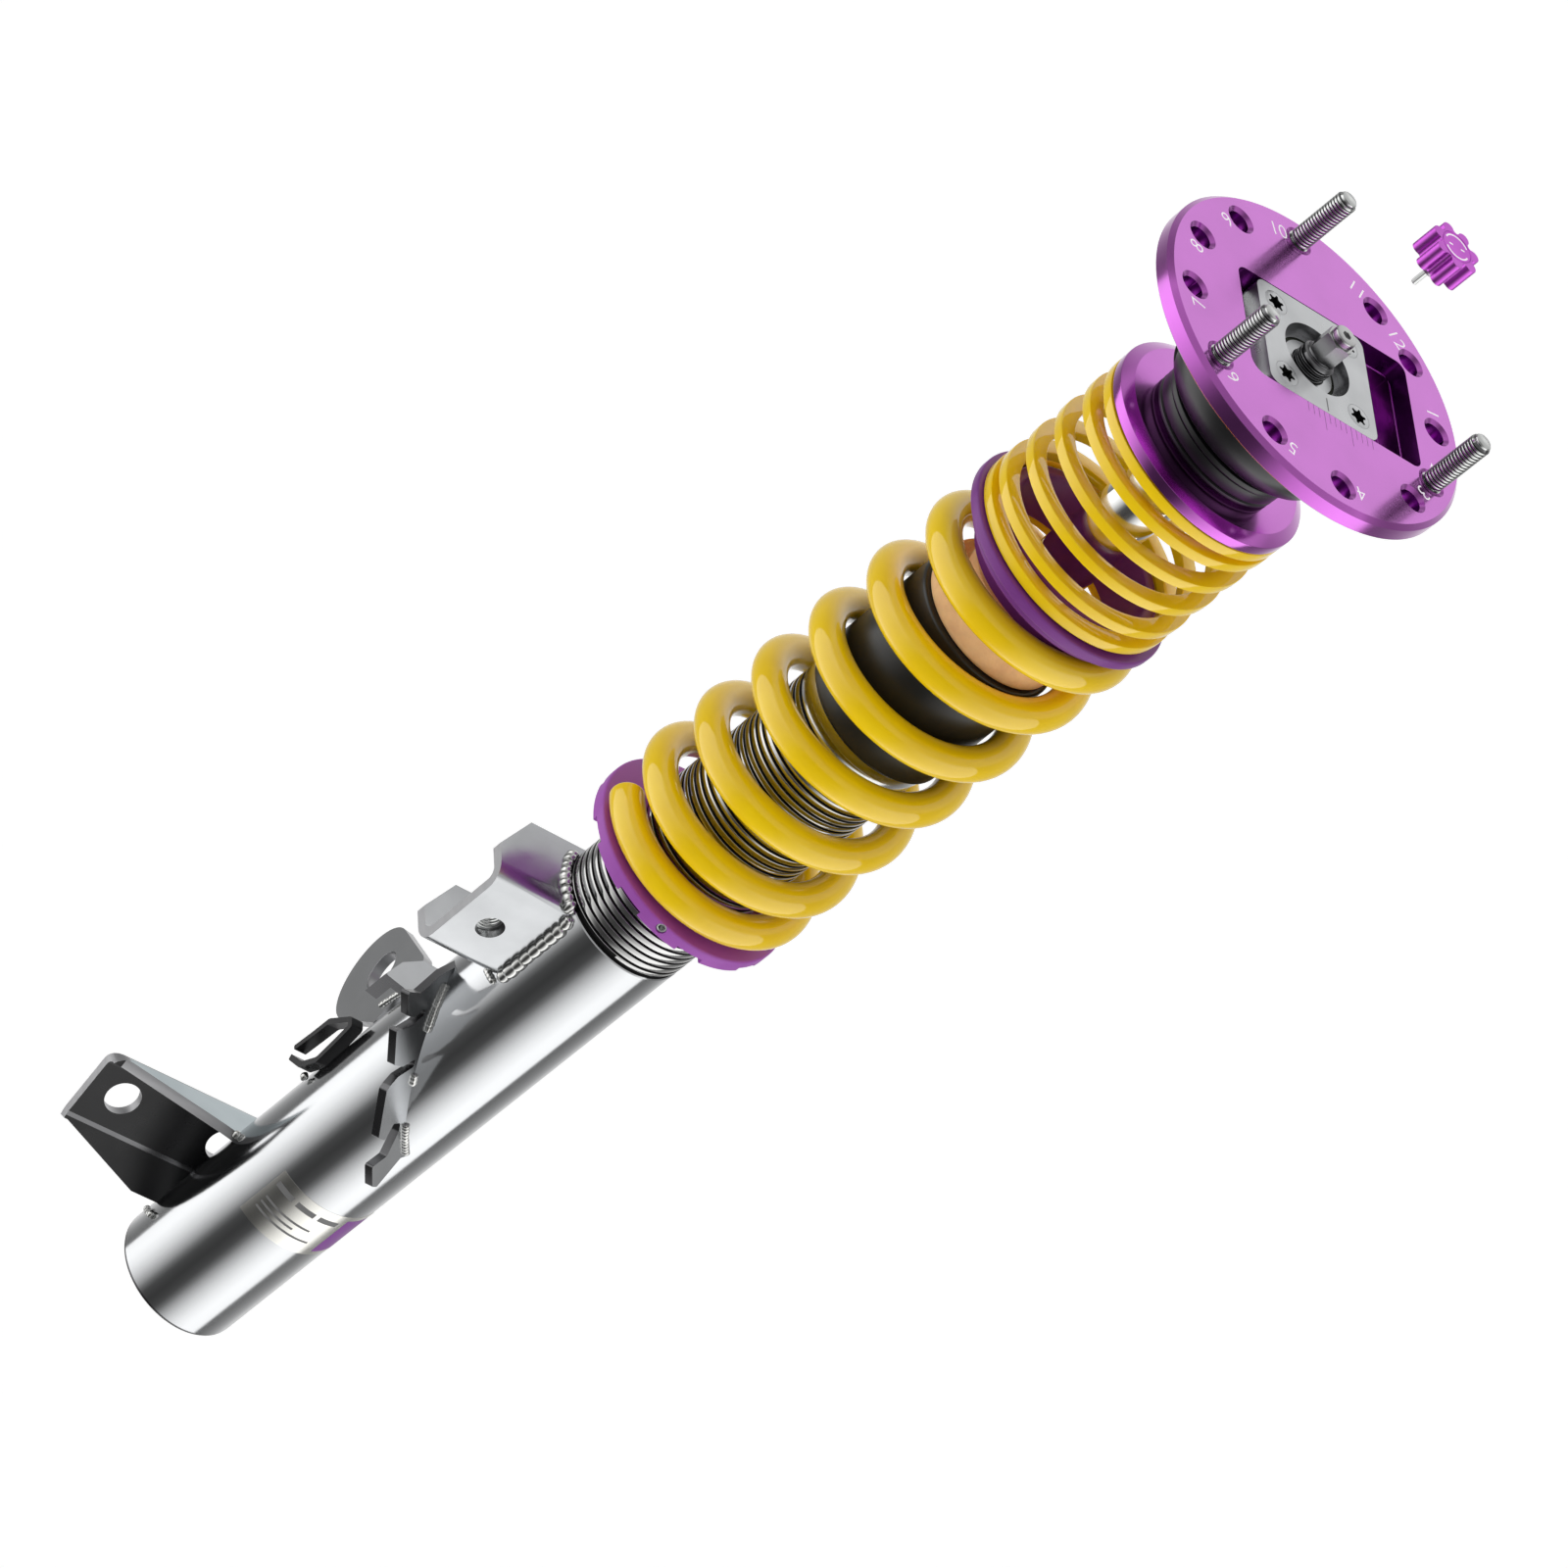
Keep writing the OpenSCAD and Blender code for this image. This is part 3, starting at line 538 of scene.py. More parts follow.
LABEL_FILM = metal("label_film", (0.84, 0.83, 0.78), 0.24, 0.03, depth=0.003, tone=0.02)
LABEL_INK = plastic("label_ink", (0.16, 0.16, 0.16), 0.45, 0.05, depth=0.004)
# Darker copy of the plate's violet for its bore and slot walls: painted shade inside the holes.
PAINTED_BORE_SHADE = metal("painted_bore_shade", (0.26, 0.02, 0.32), 0.3, 0.04, depth=0.004)
KNOB_VIOLET = metal("knob_violet", (0.66, 0.14, 0.72), 0.42, 0.04, depth=0.004)
HEX_STEEL = metal("hex_steel", (0.50, 0.50, 0.50), 0.22, 0.05, depth=0.01)
# Near-black for the flanks and roots of the sleeve thread: painted shade in the thread's grooves.
PAINTED_GROOVE_SHADE = plastic("thread_painted_groove_shade", (0.004, 0.004, 0.004), 0.6, 0.05, depth=0.01, Specular_IOR_Level=0.15)
LABEL_BAND = plastic("label_band", (0.22, 0.05, 0.30), 0.4, 0.05, depth=0.004)
# Pale blue-grey metal for the upward face of the knuckle bracket's flange: a painted sheen where light falls
# on it from above.
TOP_FACE_PAINTED_SHEEN = metal("top_face_painted_sheen", (0.50, 0.56, 0.58), 0.38, 0.05, depth=0.01, tone=0.02)

SLOTS = {part["node"]: part["material_slot"] for part in frame["record"]["subparts"]}
BODIES = {name: body for body, names in frame["record"]["behaviour"]["bodies"].items() for name in names}


def stand_in(obj, *nodes, look=None):
    """Lets a piece stand for CAD nodes: their body and, unless another is given, the material of their slot.
    """
    obj.data.materials.clear()
    obj.data.materials.append(look or MATERIALS[SLOTS[nodes[0]]])
    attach(obj, BODIES[nodes[0]])
    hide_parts(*nodes)
    return obj


def extra(obj, body, slot, look=None):
    """Adds a piece that has no CAD node of its own."""
    obj.data.materials.clear()
    obj.data.materials.append(look or MATERIALS[slot])
    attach(obj, body)
    return obj


def edge_material(obj, look, chosen):
    """Gives the faces for which chosen(centre, normal) is true, in millimetres, another material."""
    obj.data.materials.append(look)
    index = len(obj.data.materials) - 1
    for face in obj.data.polygons:
        if chosen(face.center / MM, face.normal):
            face.material_index = index


def mark_rim(sheet, place, look):
    """Gives another material to the edges and holes of a flat sheet in the XY plane of a place."""
    across = place.to_3x3() @ Vector((0, 0, 1))
    edge_material(sheet, look, lambda centre, normal: abs(normal.dot(across)) < 0.6)


# ---- strut body ----

def strut_body():
    wall = 3.5
    neck = TUBE_R - 1.5
    top = HIGH["strut_tube"].z
    tube = new_piece("tube", turned([
        (TUBE_R - wall, 0), (TUBE_R - 1.2, 0), (TUBE_R - 0.5, 0.25), (TUBE_R - 0.1, 0.9), (TUBE_R, 1.6),
        (TUBE_R, THREAD_LOW - 0.4), (TUBE_R - 0.4, THREAD_LOW), (neck, THREAD_LOW), (neck, top),
        (TUBE_R - wall, top)]))
    stand_in(tube, "strut_tube")
    edge_material(tube, MATERIALS["screw_steel"], lambda centre, normal: centre.z < 1.5)

    band = THREAD_HIGH - 4
    sleeve = thread(TUBE_R - 1.25, TUBE_R, THREAD_LOW, band, 3.2, steps=96)
    grow(sleeve, band, [(TUBE_R - 0.2, band), (TUBE_R, band + 0.2), (TUBE_R, THREAD_HIGH),
                        (neck, THREAD_HIGH)])
    grow(sleeve, THREAD_LOW, [(neck, THREAD_LOW), (neck, THREAD_HIGH)])
    bmesh.ops.remove_doubles(sleeve, verts=sleeve.verts, dist=1e-6)
    threads = stand_in(new_piece("sleeve_thread", sleeve, sharp=50), "threaded_sleeve")
    # The thread's flanks and roots are painted near-black: painted shade in its grooves.
    edge_material(threads, PAINTED_GROOVE_SHADE, lambda centre, normal: neck < centre.xy.length < TUBE_R - 0.3
                  and centre.z < band - 0.2)

    collar, high = HIGH["gland_nut"].x, HIGH["gland_nut"].z
    foot, seal_seat, seal_r = 372, 380, 16
    nut = new_piece("gland_collar", turned([
        (seal_r, foot), (TUBE_R - wall, foot), (TUBE_R - wall, top), (collar - 0.3, top),
        (collar, top + 0.3), (collar, high - 0.3), (collar - 0.3, high), (ROD_R + 0.6, high),
        (ROD_R + 0.6, seal_seat), (seal_r, seal_seat)]))
    stand_in(nut, "gland_nut")


def end_cap():
    low, wall, foot_r, lip_r = LOW["end_cap"].z, 4, 26, 22
    stand_in(new_piece("end_cap_shell", turned([
        (lip_r, low), (foot_r, low), (foot_r, low + 1), *arc(CAP_R - 1, low + 2, 1, -90, 0, 4),
        *arc(CAP_R - 1.2, CAP_TOP - 1.2, 1.2, 0, 90, 5), (ROD_R + 1, CAP_TOP), (ROD_R + 1, CAP_TOP - wall),
        (CAP_R - wall, CAP_TOP - wall), (CAP_R - wall, low + 5), (lip_r, low + 5)])), "end_cap")


def bump_stop():
    r, low, high = HIGH["bump_stop"].x, LOW["bump_stop"].z, HIGH["bump_stop"].z
    mid = (low + high) / 2
    inner = ROD_R + 0.6
    stand_in(new_piece("bump_stop_foam", turned([
        (inner, low), (r - 2, low), *arc(r - 2, low + 2, 2, -70, 0, 4),
        *arc(r - 2.5, mid - 3.5, 2.5, 0, 75, 6), *arc(r - 4.2, mid + 0.2, 2.0, 250, 130, 6),
        *arc(r - 9, high - 6.5, 6.0, 25, 85, 7), (inner + 2, high), (inner, high - 1)])), "bump_stop")


# ---- brackets ----

def tube_tool():
    return rod_between(TUBE_R - 0.6, -20, 420, sides=STEPS)


def knuckle_bracket():
    """Upright web with a flange over it and a lower apron bent forward."""
    tilt = Matrix.Rotation(math.radians(KNUCKLE_TILT), 4, "X")
    stand = tilt @ SIDEWAYS
    face, top, bend, apron, apron_l = -10, 66.8, 35.5, math.radians(17), 16.4
    reach = HIGH["knuckle_bracket"].x
    hole_x, hole_gap, hole_z, hole_r = 60.5, 46, 50.2, 6.875
    path = [(9, top, 0), (face - SHEET, top, 2.2), (face - SHEET, bend - 0.6, 6),
            (face + apron_l * math.sin(apron) - SHEET * math.cos(apron),
             bend - apron_l * math.cos(apron) - SHEET * math.sin(apron), 0)]
    outline = strip_outline([(x, y, r) for x, y, r in path[::-1]], SHEET)
    bracket = new_piece("knuckle_sheet", prism(outline, 0, reach, stand))
    flange_cut = prism([(reach + 5, face + 2.5), (reach - 4, face + 2.5), (29.3, 5.8), (22, 8.8), (22, 20),
                        (reach + 5, 20)], top - SHEET - 1.5, top + 2, tilt)
    lean = tilt @ Matrix.Translation((0, face, bend)) @ Matrix.Rotation(math.pi / 2 + apron, 4, "X")
    apron_cut = prism([(reach + 5, -2.3), (reach - 1.5, -2.3), (36, -apron_l), (36, -30), (reach + 5, -30)],
                      -6, 10, lean)
    corner = 7
    stand_face = tilt @ Matrix.Translation((reach - corner, face + 5, top - corner)) @ UPRIGHT
    beyond = corner + 5
    corner_cut = prism([*arc(0, 0, corner, 0, 90, 8), (0, beyond), (beyond, beyond), (beyond, 0)],
                       0, SHEET + 12, stand_face)
    hole_xs = (hole_x, hole_x - hole_gap)
    hole_places = [tilt @ Matrix.Translation((x, face, hole_z)) @ UPRIGHT for x in hole_xs]
    holes = [rod_between(hole_r, -3, SHEET + 4, place, 64) for place in hole_places]
    carve(bracket, flange_cut, apron_cut, corner_cut, *holes, tube_tool())
    stand_in(soften(bracket, 0.45, 3), "knuckle_bracket")
    back = tilt.inverted()
    turn = back.to_3x3()

    def cut_edge(centre, normal):
        local, facing = back @ centre, turn @ normal
        apron_normal = facing.y * math.cos(apron) + facing.z * math.sin(apron)
        sheet_normal = max(abs(facing.z), abs(facing.y), abs(apron_normal))
        in_hole = any((Vector((local.x, local.z)) - Vector((x, hole_z))).length < hole_r + 0.3
                      for x in hole_xs) and abs(facing.y) < 0.3
        front = local.y > 8.5 and facing.y > 0.8 and local.z > top - SHEET - 0.5
        foot = facing.z < -0.7 and local.z < bend - 8
        return abs(facing.x) > 0.25 or sheet_normal < 0.7 or in_hole or front or foot

    edge_material(bracket, CUT_EDGE, cut_edge)
    # The flange's upward face is made pale: painted sheen from the light above.
    edge_material(bracket, TOP_FACE_PAINTED_SHEEN, lambda centre, normal: (turn @ normal).z > 0.9
                  and (back @ centre).z > top - 0.3)
    # Thin strip of lighter metal along the bend line: a painted highlight where the bend catches the light.
    edge_material(bracket, BLACK_OXIDE_AND_PAINTED_LIGHT, lambda centre, normal: (turn @ normal).y > 0.9
                  and abs((back @ centre).z - bend) < 1.0)


def clevis_bracket():
    """U-shaped bracket whose web faces the camera side."""
    face, r_out, depth = 12, 7.5, 40
    low, high, reach = LOW["clevis_bracket"].z, HIGH["clevis_bracket"].z, HIGH["clevis_bracket"].x
    path = [(face - depth, low + SHEET, 0), (face - SHEET, low + SHEET, r_out - SHEET),
            (face - SHEET, high - SHEET, r_out - SHEET), (face - depth, high - SHEET, 0)]
    bracket = new_piece("clevis_sheet", prism(strip_outline(path, SHEET), 0, reach, SIDEWAYS))
    trim = prism([(reach + 5, -3.5), (reach, -3.5), (42.1, -20.4), (0, -20.4), (0, -60), (reach + 5, -60)],
                 low - 2, high + 2)
    hole_place = Matrix.Translation((CLEVIS_HOLE_X, face, low + CLEVIS_HOLE_RISE)) @ UPRIGHT
    hole = rod_between(5.25, -2, SHEET + 3, hole_place, 64)
    carve(bracket, trim, hole, tube_tool())
    stand_in(soften(bracket, 0.35, 3), "clevis_bracket")
    edge_material(bracket, CUT_EDGE, lambda centre, normal: normal.x > 0.6
                  or normal.y < -0.6 and centre.y < -3)


def clevis_nut():
    hole_z = LOW["clevis_bracket"].z + CLEVIS_HOLE_RISE
    place = Matrix.Translation((CLEVIS_HOLE_X, 8, hole_z)) @ UPRIGHT
    height, sleeve_r = 6, 4.4
    nut = new_piece("clevis_weld_nut", rod_between(8.5, 0, height, place, 6))
    carve(nut, rod_between(sleeve_r - 0.05, -1, height + 1, place, 40))
    stand_in(soften(nut, 0.5, 2), "clevis_nut")
    bore = thread(3.95, 4.3, 0, height, 1.25, 40)
    grow(bore, 0, [(sleeve_r, 0)])
    grow(bore, height, [(sleeve_r, height), (sleeve_r, 0)])
    bmesh.ops.remove_doubles(bore, verts=bore.verts, dist=1e-6)
    extra(new_piece("clevis_nut_thread", moved(bore, place), sharp=50), "strut", "plated_steel")


def stabiliser_tab():
    yaw = Matrix.Rotation(math.radians(257), 4, "Z")
    place = Matrix.Translation((20, -20, 0)) @ yaw @ UPRIGHT
    lobes = [(31, 130.4, 20), (11, 158, 7), (0, 141, 3)]
    points = [Vector(p) for x, y, r in lobes for p in arc(x, y, r, 0, 360, 72)]
    hull = bmesh.new()
    for p in points:
        hull.verts.new((p.x, p.y, 0))
    made = bmesh.ops.convex_hull(hull, input=hull.verts)
    rim = sorted({v for v in hull.verts if v not in made["geom_interior"]},
                 key=lambda v: math.atan2(v.co.y - 138, v.co.x - 18))
    outline = [(v.co.x, v.co.y) for v in rim]
    hull.free()
    tab = new_piece("stabiliser_ear", prism(outline, 0, SHEET, place))
    hole_place = place @ Matrix.Translation((27.4, 137.1, 0))
    carve(tab, rod_between(8.15, -2, SHEET + 2, hole_place, 72), tube_tool())
    stand_in(soften(tab, 0.35, 3), "stabiliser_tab")
    mark_rim(tab, place, CUT_EDGE)


COMB_Z, COMB_LEAN, COMB_YAW = 158.1, 56.7, 46.8


def comb_bracket():
    """Leaning sheet with narrow teeth that hold the hoses."""
    thick = 3.2
    place = Matrix.Translation((0, 0, COMB_Z)) @ Matrix.Rotation(math.radians(COMB_YAW), 4, "Z") \
        @ Matrix.Rotation(math.radians(-COMB_LEAN), 4, "X")
    outline = filleted([
        (0, -40, 0), (22, -41, 0), (36.3, -37.8, 1), (45, -41.2, 0.6), (45.7, -40, 0.6), (42, -30.5, 1.2),
        (36.7, -28.2, 1), (29.8, -29.6, 1.2), (29.8, -26.8, 1.2), (35.7, -25.7, 1), (43.7, -25.6, 1),
        (48.5, -27.2, 0.8), (43.8, -11.4, 1.2), (37, -8.4, 1), (28.5, -8.6, 1.4), (28.2, -5.4, 1.4),
        (38.8, -5, 1.5), (43.4, -2.9, 1), (45.2, -1.4, 1), (42.9, 18.5, 1.2), (37.6, 21.3, 1),
        (33.6, 16, 0.8), (28.6, 17.5, 1.4), (28.2, 21, 1.4), (33.2, 29.4, 1), (42.7, 30.4, 0.8),
        (39, 39.8, 0.8), (35.6, 41.1, 0.8), (21.9, 34.3, 1), (0, 38, 0)], 4)
    comb = new_piece("hose_comb", prism(outline, -thick, 0, place))
    carve(comb, tube_tool())
    stand_in(soften(comb, 0.35, 3), "hose_comb_bracket")
    mark_rim(comb, place, BLACK_OXIDE_AND_PAINTED_LIGHT)


def comb_line(start, end, steps=12):
    """Points where the comb's sheet meets the tube, between two angles."""
    lean, yaw = math.radians(COMB_LEAN), math.radians(COMB_YAW)
    points = []
    for i in range(steps + 1):
        angle = start + (end - start) * i / steps
        p = polar(angle, TUBE_R)
        fall = math.tan(lean) * (p.y * math.cos(yaw) - p.x * math.sin(yaw))
        points.append(on_tube(angle, COMB_Z - fall + 0.6, 0.4))
    return points


def hose_arm():
    top, lip, thick = 172, 11.6, 3.6
    outline = filleted([(12, -22, 0), (26.5, -5.9, 0), (31, -5, 1), (36, -6.5, 1), (41, -8, 0.8),
                        (33, -17.3, 1), (23, -23, 0)], 4)
    arm = new_piece("hose_arm_sheet", prism(outline, top - thick, top))
    lip_part = prism([(36, -6.5), (41, -8), (33, -17.3), (31, -14)], top - lip, top - 0.2)
    carve(arm, lip_part, operation="UNION")
    carve(arm, tube_tool())
    stand_in(soften(arm, 0.4, 3), "hose_arm")
    edge_material(arm, BLACK_OXIDE_AND_PAINTED_LIGHT, lambda centre, normal: abs(normal.z) < 0.5)


def hose_clip():
    place = Matrix.Translation((24, 0, 0)) @ SIDEWAYS
    outline = filleted([
        (-25.2, 105, 0.5), (-24.6, 115.5, 4), (-24.4, 125.4, 4), (-17, 138, 1.5), (-12.6, 138, 1.5),
        (-11, 128.5, 4), (-9.6, 117, 4), (-13.4, 107.4, 4), (-21, 101.6, 0.6), (-22.4, 103.4, 0.6),
        (-15.2, 109.2, 4), (-11.8, 117.4, 4), (-13.2, 128.2, 4), (-14.4, 135.8, 0.6), (-15.8, 135.8, 0.6),
        (-22.2, 124.5, 4), (-22.6, 115.2, 4), (-23.2, 105, 0.5)], 4)
    clip = new_piece("line_clip", prism(outline, 0, 5, place))
    carve(clip, tube_tool())
    stand_in(soften(clip, 0.3, 2), "hose_clip")


def on_tube(angle, z, out=0.5):
    return polar(angle, TUBE_R + out, z)


def tube_line(start, end, out=0.5, steps=12):
    """Points on the tube's surface between two (angle, z) places."""
    turn, rise = end[0] - start[0], end[1] - start[1]
    return [on_tube(start[0] + turn * i / steps, start[1] + rise * i / steps, out)
            for i in range(steps + 1)]


def welds():
    low, high = LOW["clevis_bracket"].z, HIGH["clevis_bracket"].z
    beads = {
        "weld_clevis_web": weld(tube_line((28.9, low + 3), (28.5, high - 7)), 2.6, 4.4, 1),
        "weld_clevis_top": weld(tube_line((-35, high - 0.4), (26, high - 0.4), 1.4, 24), 3.0, 3.2, 2),
        "weld_clevis_corner": weld(tube_line((29.5, high - 8), (26, high - 2.6), 0.7), 2.4, 4.0, 3),
        "weld_clevis_foot": weld(tube_line((14, low - 0.6), (29, low + 0.5)), 1.3, 1.6, 4),
        "weld_comb_upper": weld(comb_line(0, 25.5), 1.3, 1.5, 5),
        "weld_comb_middle": weld(comb_line(45, 51, 4), 1.1, 1.5, 12),
        "weld_comb_lower": weld(comb_line(71, 92), 1.3, 1.5, 6),
        "weld_clip": weld([Vector((25.6, -12.5, 108)), Vector((25.9, -10.5, 105))], 1.9, 3.0, 7),
        "weld_knuckle_top": weld([Vector((25.6, -12.2, 66.4)), Vector((25.4, -8.8, 66.6))], 2.1, 3.4, 8),
        "weld_knuckle_foot": weld([Vector((25.4, -11, 12.9)), Vector((26.6, -6.8, 15.2)),
                                   Vector((27.0, -3.4, 18.2))], 1.5, 2.4, 9),
        "weld_arm": weld(tube_line((-14, 170), (-40, 170), 0.2), 1.2, 1.8, 10),
        "weld_tab": weld([Vector((24.8, -14.5, 164.5)), Vector((23.4, -17.5, 155)),
                          Vector((22.2, -20, 146))], 1.5, 2.0, 11),
    }
    for name, bead in beads.items():
        extra(new_piece(name, bead, sharp=60), "strut", "plated_steel", WELD_METAL)


def label():
    """Plain pale sticker wrapped on the tube, with generic grey bars in place of its print."""
    def patch(start, end, low, high, out, steps):
        path = []
        for i in range(steps + 1):
            angle = start + (end - start) * i / steps
            path.append((polar(angle, TUBE_R + out), polar(angle), Vector((0, 0, 1))))
        return swept(path, lambda i: [(-0.06, low), (0.02, low), (0.02, high), (-0.06, high)])

    film = new_piece("label_film", patch(40, 140, 61.5, 88, 0.06, 60), 40)
    extra(soften(film, 0.02, 1), "strut", "white_polymer", LABEL_FILM)
    bars = [patch(start, start + 18, 81, 83.6, 0.1, 12) for start in (44, 66, 88)]
    small_bars = ((92, 74, 30), (80, 71, 24), (100, 68, 30))
    bars += [patch(46, end, low, low + 1, 0.1, steps) for end, low, steps in small_bars]
    extra(new_piece("label_bars", joined(*bars), 40), "strut", "black_plastic", LABEL_INK)
    band = new_piece("label_band", patch(112, 136, 64, 85.5, 0.1, 18), 40)
    extra(band, "strut", "violet_dark", LABEL_BAND)


# ---- springs, perch and coupler ----

# Knots of (turns, height) along the wires of the two springs
MAIN_RISE = ((0, 297.5), (0.17, 299.6), (0.32, 302), (0.92, 313.1), (1.92, 339.6), (2.92, 369.2),
             (3.92, 398.5), (4.92, 427.6), (5.92, 457.4), (6.42, 466.6), (6.82, 467.7))
HELPER_RISE = ((0, 482.5), (0.66, 483.2), (1, 486.6), (1.16, 487.5), (1.66, 491.9), (2.66, 505.5),
               (3.66, 519), (4.66, 532.2), (5.5, 540.2), (6.05, 541))
COUPLER_SEAT, HELPER_SEAT = 474, 482.5
END_STEPS = (0, 0.12, 0.35, 0.7, 1.2, 3)    # rows this far from a wire's end


def end_scale(distance, corner, size):
    """Size of a wire's section near its end, for a rounded corner."""
    short = max(0.0, corner - distance)
    return 1 - (corner - math.sqrt(corner * corner - short * short)) / size


def main_spring():
    wire, radius = 6.25, 36.25
    path, ends = coil_path(MAIN_RISE, radius, -10, 72, END_STEPS)

    def section(i):
        r = wire * end_scale(ends[i], 1.0, wire)
        return [(r * math.cos(2 * math.pi * k / 32), r * math.sin(2 * math.pi * k / 32)) for k in range(32)]

    spring = new_piece("main_coil", swept(path, section), 40)
    stand_in(spring, "main_spring")
    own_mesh(spring)


def helper_spring():
    width, thick, outer = 6.2, 3.9, HIGH["upper_seat"].x - 0.1
    path, ends = coil_path(HELPER_RISE, outer - width / 2, -186.5, 84, END_STEPS)
    corner = 0.45
    form = filleted([(-width / 2, 0, corner), (width / 2, 0, corner), (width / 2, thick, corner),
                     (-width / 2, thick, corner)], 3)

    def section(i):
        scale = end_scale(ends[i], 0.8, width / 2)
        return [(a * scale, thick / 2 + (b - thick / 2) * scale) for a, b in form]

    spring = new_piece("helper_coil", swept(path, section), 28)
    stand_in(spring, "helper_spring")
    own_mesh(spring)


def spring_perch():
    r, low, seat = HIGH["spring_perch"].x, LOW["spring_perch"].z, HIGH["spring_perch"].z - 5
    inner = TUBE_R + 0.05
    ring = new_piece("perch_ring", turned([
        (inner, low + 0.6), (inner + 0.6, low), (r - 1.3, low), *arc(r - 1.0, low + 1.0, 1.0, -60, 0, 3),
        *arc(r - 0.9, seat - 0.9, 0.9, 0, 90, 4), (29.6, seat), (29.6, seat + 4), (28.6, seat + 5),
        (inner, seat + 5)]))
    notches = []
    for i in range(9):
        place = spun(6.9 + 40 * i, r, low)
        notches.append(box(-5, -5.5, 6, 5.5, -2, 2.4, place))
    screw_z = 289
    outward = spun(66.9, 0, screw_z) @ Matrix.Rotation(math.pi / 2, 4, "Y")
    carve(ring, *notches, rod_between(2.0, 20, 60, outward, 40))
    stand_in(soften(ring, 0.4, 2, 40), "spring_perch")

    screw = new_piece("perch_grub_screw", rod_between(1.95, TUBE_R + 0.6, r - 0.5, outward, 40))
    carve(screw, rod_between(1.25, r - 3, r + 2, outward, 6))
    stand_in(soften(screw, 0.25, 2), "perch_set_screw")


def spring_coupler():
    r, low, high = HIGH["spring_coupler"].x, LOW["spring_coupler"].z, HIGH["spring_coupler"].z
    flange, step, hub, inner = 478.5, 37.6, 33.2, CAP_R + 0.3
    ring = new_piece("coupler_ring", turned([
        (inner, low), (inner + 0.45, low), (inner + 0.5, COUPLER_SEAT),
        *arc(step - 1.2, COUPLER_SEAT + 1.2, 1.2, -90, 0, 4), (step, flange),
        *arc(r - 0.8, flange + 0.8, 0.8, -90, 0, 3), *arc(r - 0.9, HELPER_SEAT - 0.9, 0.9, 0, 90, 4),
        (hub, HELPER_SEAT), *arc(hub - 0.8, high - 0.8, 0.8, 0, 90, 4), (inner + 0.6, high),
        (inner, high - 0.6)]))
    stand_in(ring, "spring_coupler")


# ---- piston rod, its tip and the bearings ----

def piston_rod():
    shank, shoulder, thread_low, thread_high, hex_top = 7, 552, 592, 600.7, HIGH["piston_rod"].z
    bore, foot, neck_r, neck_top, tip_low = 2.55, 310, 6, 340, 585
    rod = new_piece("rod_polished", turned([
        (bore, foot), (neck_r, foot), (neck_r, neck_top), (ROD_R - 1, neck_top), (ROD_R, neck_top + 1),
        (ROD_R, shoulder - 0.6), (ROD_R - 0.6, shoulder), (shank, shoulder), (shank, tip_low),
        (bore, tip_low)]))
    stand_in(rod, "piston_rod")
    extra(thread_stem(bore, shank, tip_low, thread_low, thread_high), "rod", "screw_steel", BLACK_OXIDE_AND_PAINTED_LIGHT)
    hexagon = new_piece("rod_hex", rod_between(5.75, thread_high, hex_top, None, 6))
    chamfer = turned([(0, thread_high - 1), (9, thread_high - 1), (9, hex_top - 3.2), (5.1, hex_top + 0.1),
                      (0, hex_top + 0.1)])
    carve(hexagon, chamfer, operation="INTERSECT")
    carve(hexagon, rod_between(bore, thread_high - 2, hex_top + 2, None, 40))
    extra(soften(hexagon, 0.3, 3, 35), "rod", "screw_steel", HEX_STEEL)


def thread_stem(bore, shank, low, thread_low, thread_high):
    """Coarse dark thread at the rod's tip, closed round the adjuster's bore."""
    stem = thread(5.4, 6.7, thread_low, thread_high - 0.3, 1.9, 64)
    grow(stem, thread_high - 0.3, [(5.0, thread_high), (bore, thread_high)])
    grow(stem, thread_low, [(shank, thread_low), (shank, low), (bore, low), (bore, thread_high)])
    bmesh.ops.remove_doubles(stem, verts=stem.verts, dist=1e-6)
    return new_piece("rod_tip_thread", stem, 50)


def adjuster():
    top = HIGH["adjuster_needle"].z
    hex_top = HIGH["piston_rod"].z
    needle = new_piece("adjuster_stem", turned([
        (0, 318), (1, 322), (2.5, 324), (2.5, hex_top + 0.1), (4.3, hex_top + 0.1),
        *arc(3.7, top - 0.6, 0.6, 0, 90, 3), (0, top)], 72))
    carve(needle, rod_between(1.75, 609.8, top + 2, None, 6))
    stand_in(soften(needle, 0.15, 2, 40), "adjuster_needle", look=HEX_STEEL)


def upper_seat():
    low, high, r = LOW["bearing_lower_race"].z, HIGH["upper_seat"].z, HIGH["upper_seat"].x
    base, edge = 544.9, 548.9
    stand_in(new_piece("upper_seat_ring", turned([
        (ROD_R + 0.05, 546.3), (21, 546.3), (21, base), (30.5, base), (30.5, base - 2.5),
        (33.2, base - 2.5),
        (33.2, base), *arc(r - 0.5, base + 0.5, 0.5, -90, 0, 3), *arc(r - 0.35, edge - 0.4, 0.35, 0, 60, 3),
        *arc(36.1, high - 0.25, 0.25, 60, 90, 2), (ROD_R + 0.05, low)])), "upper_seat")


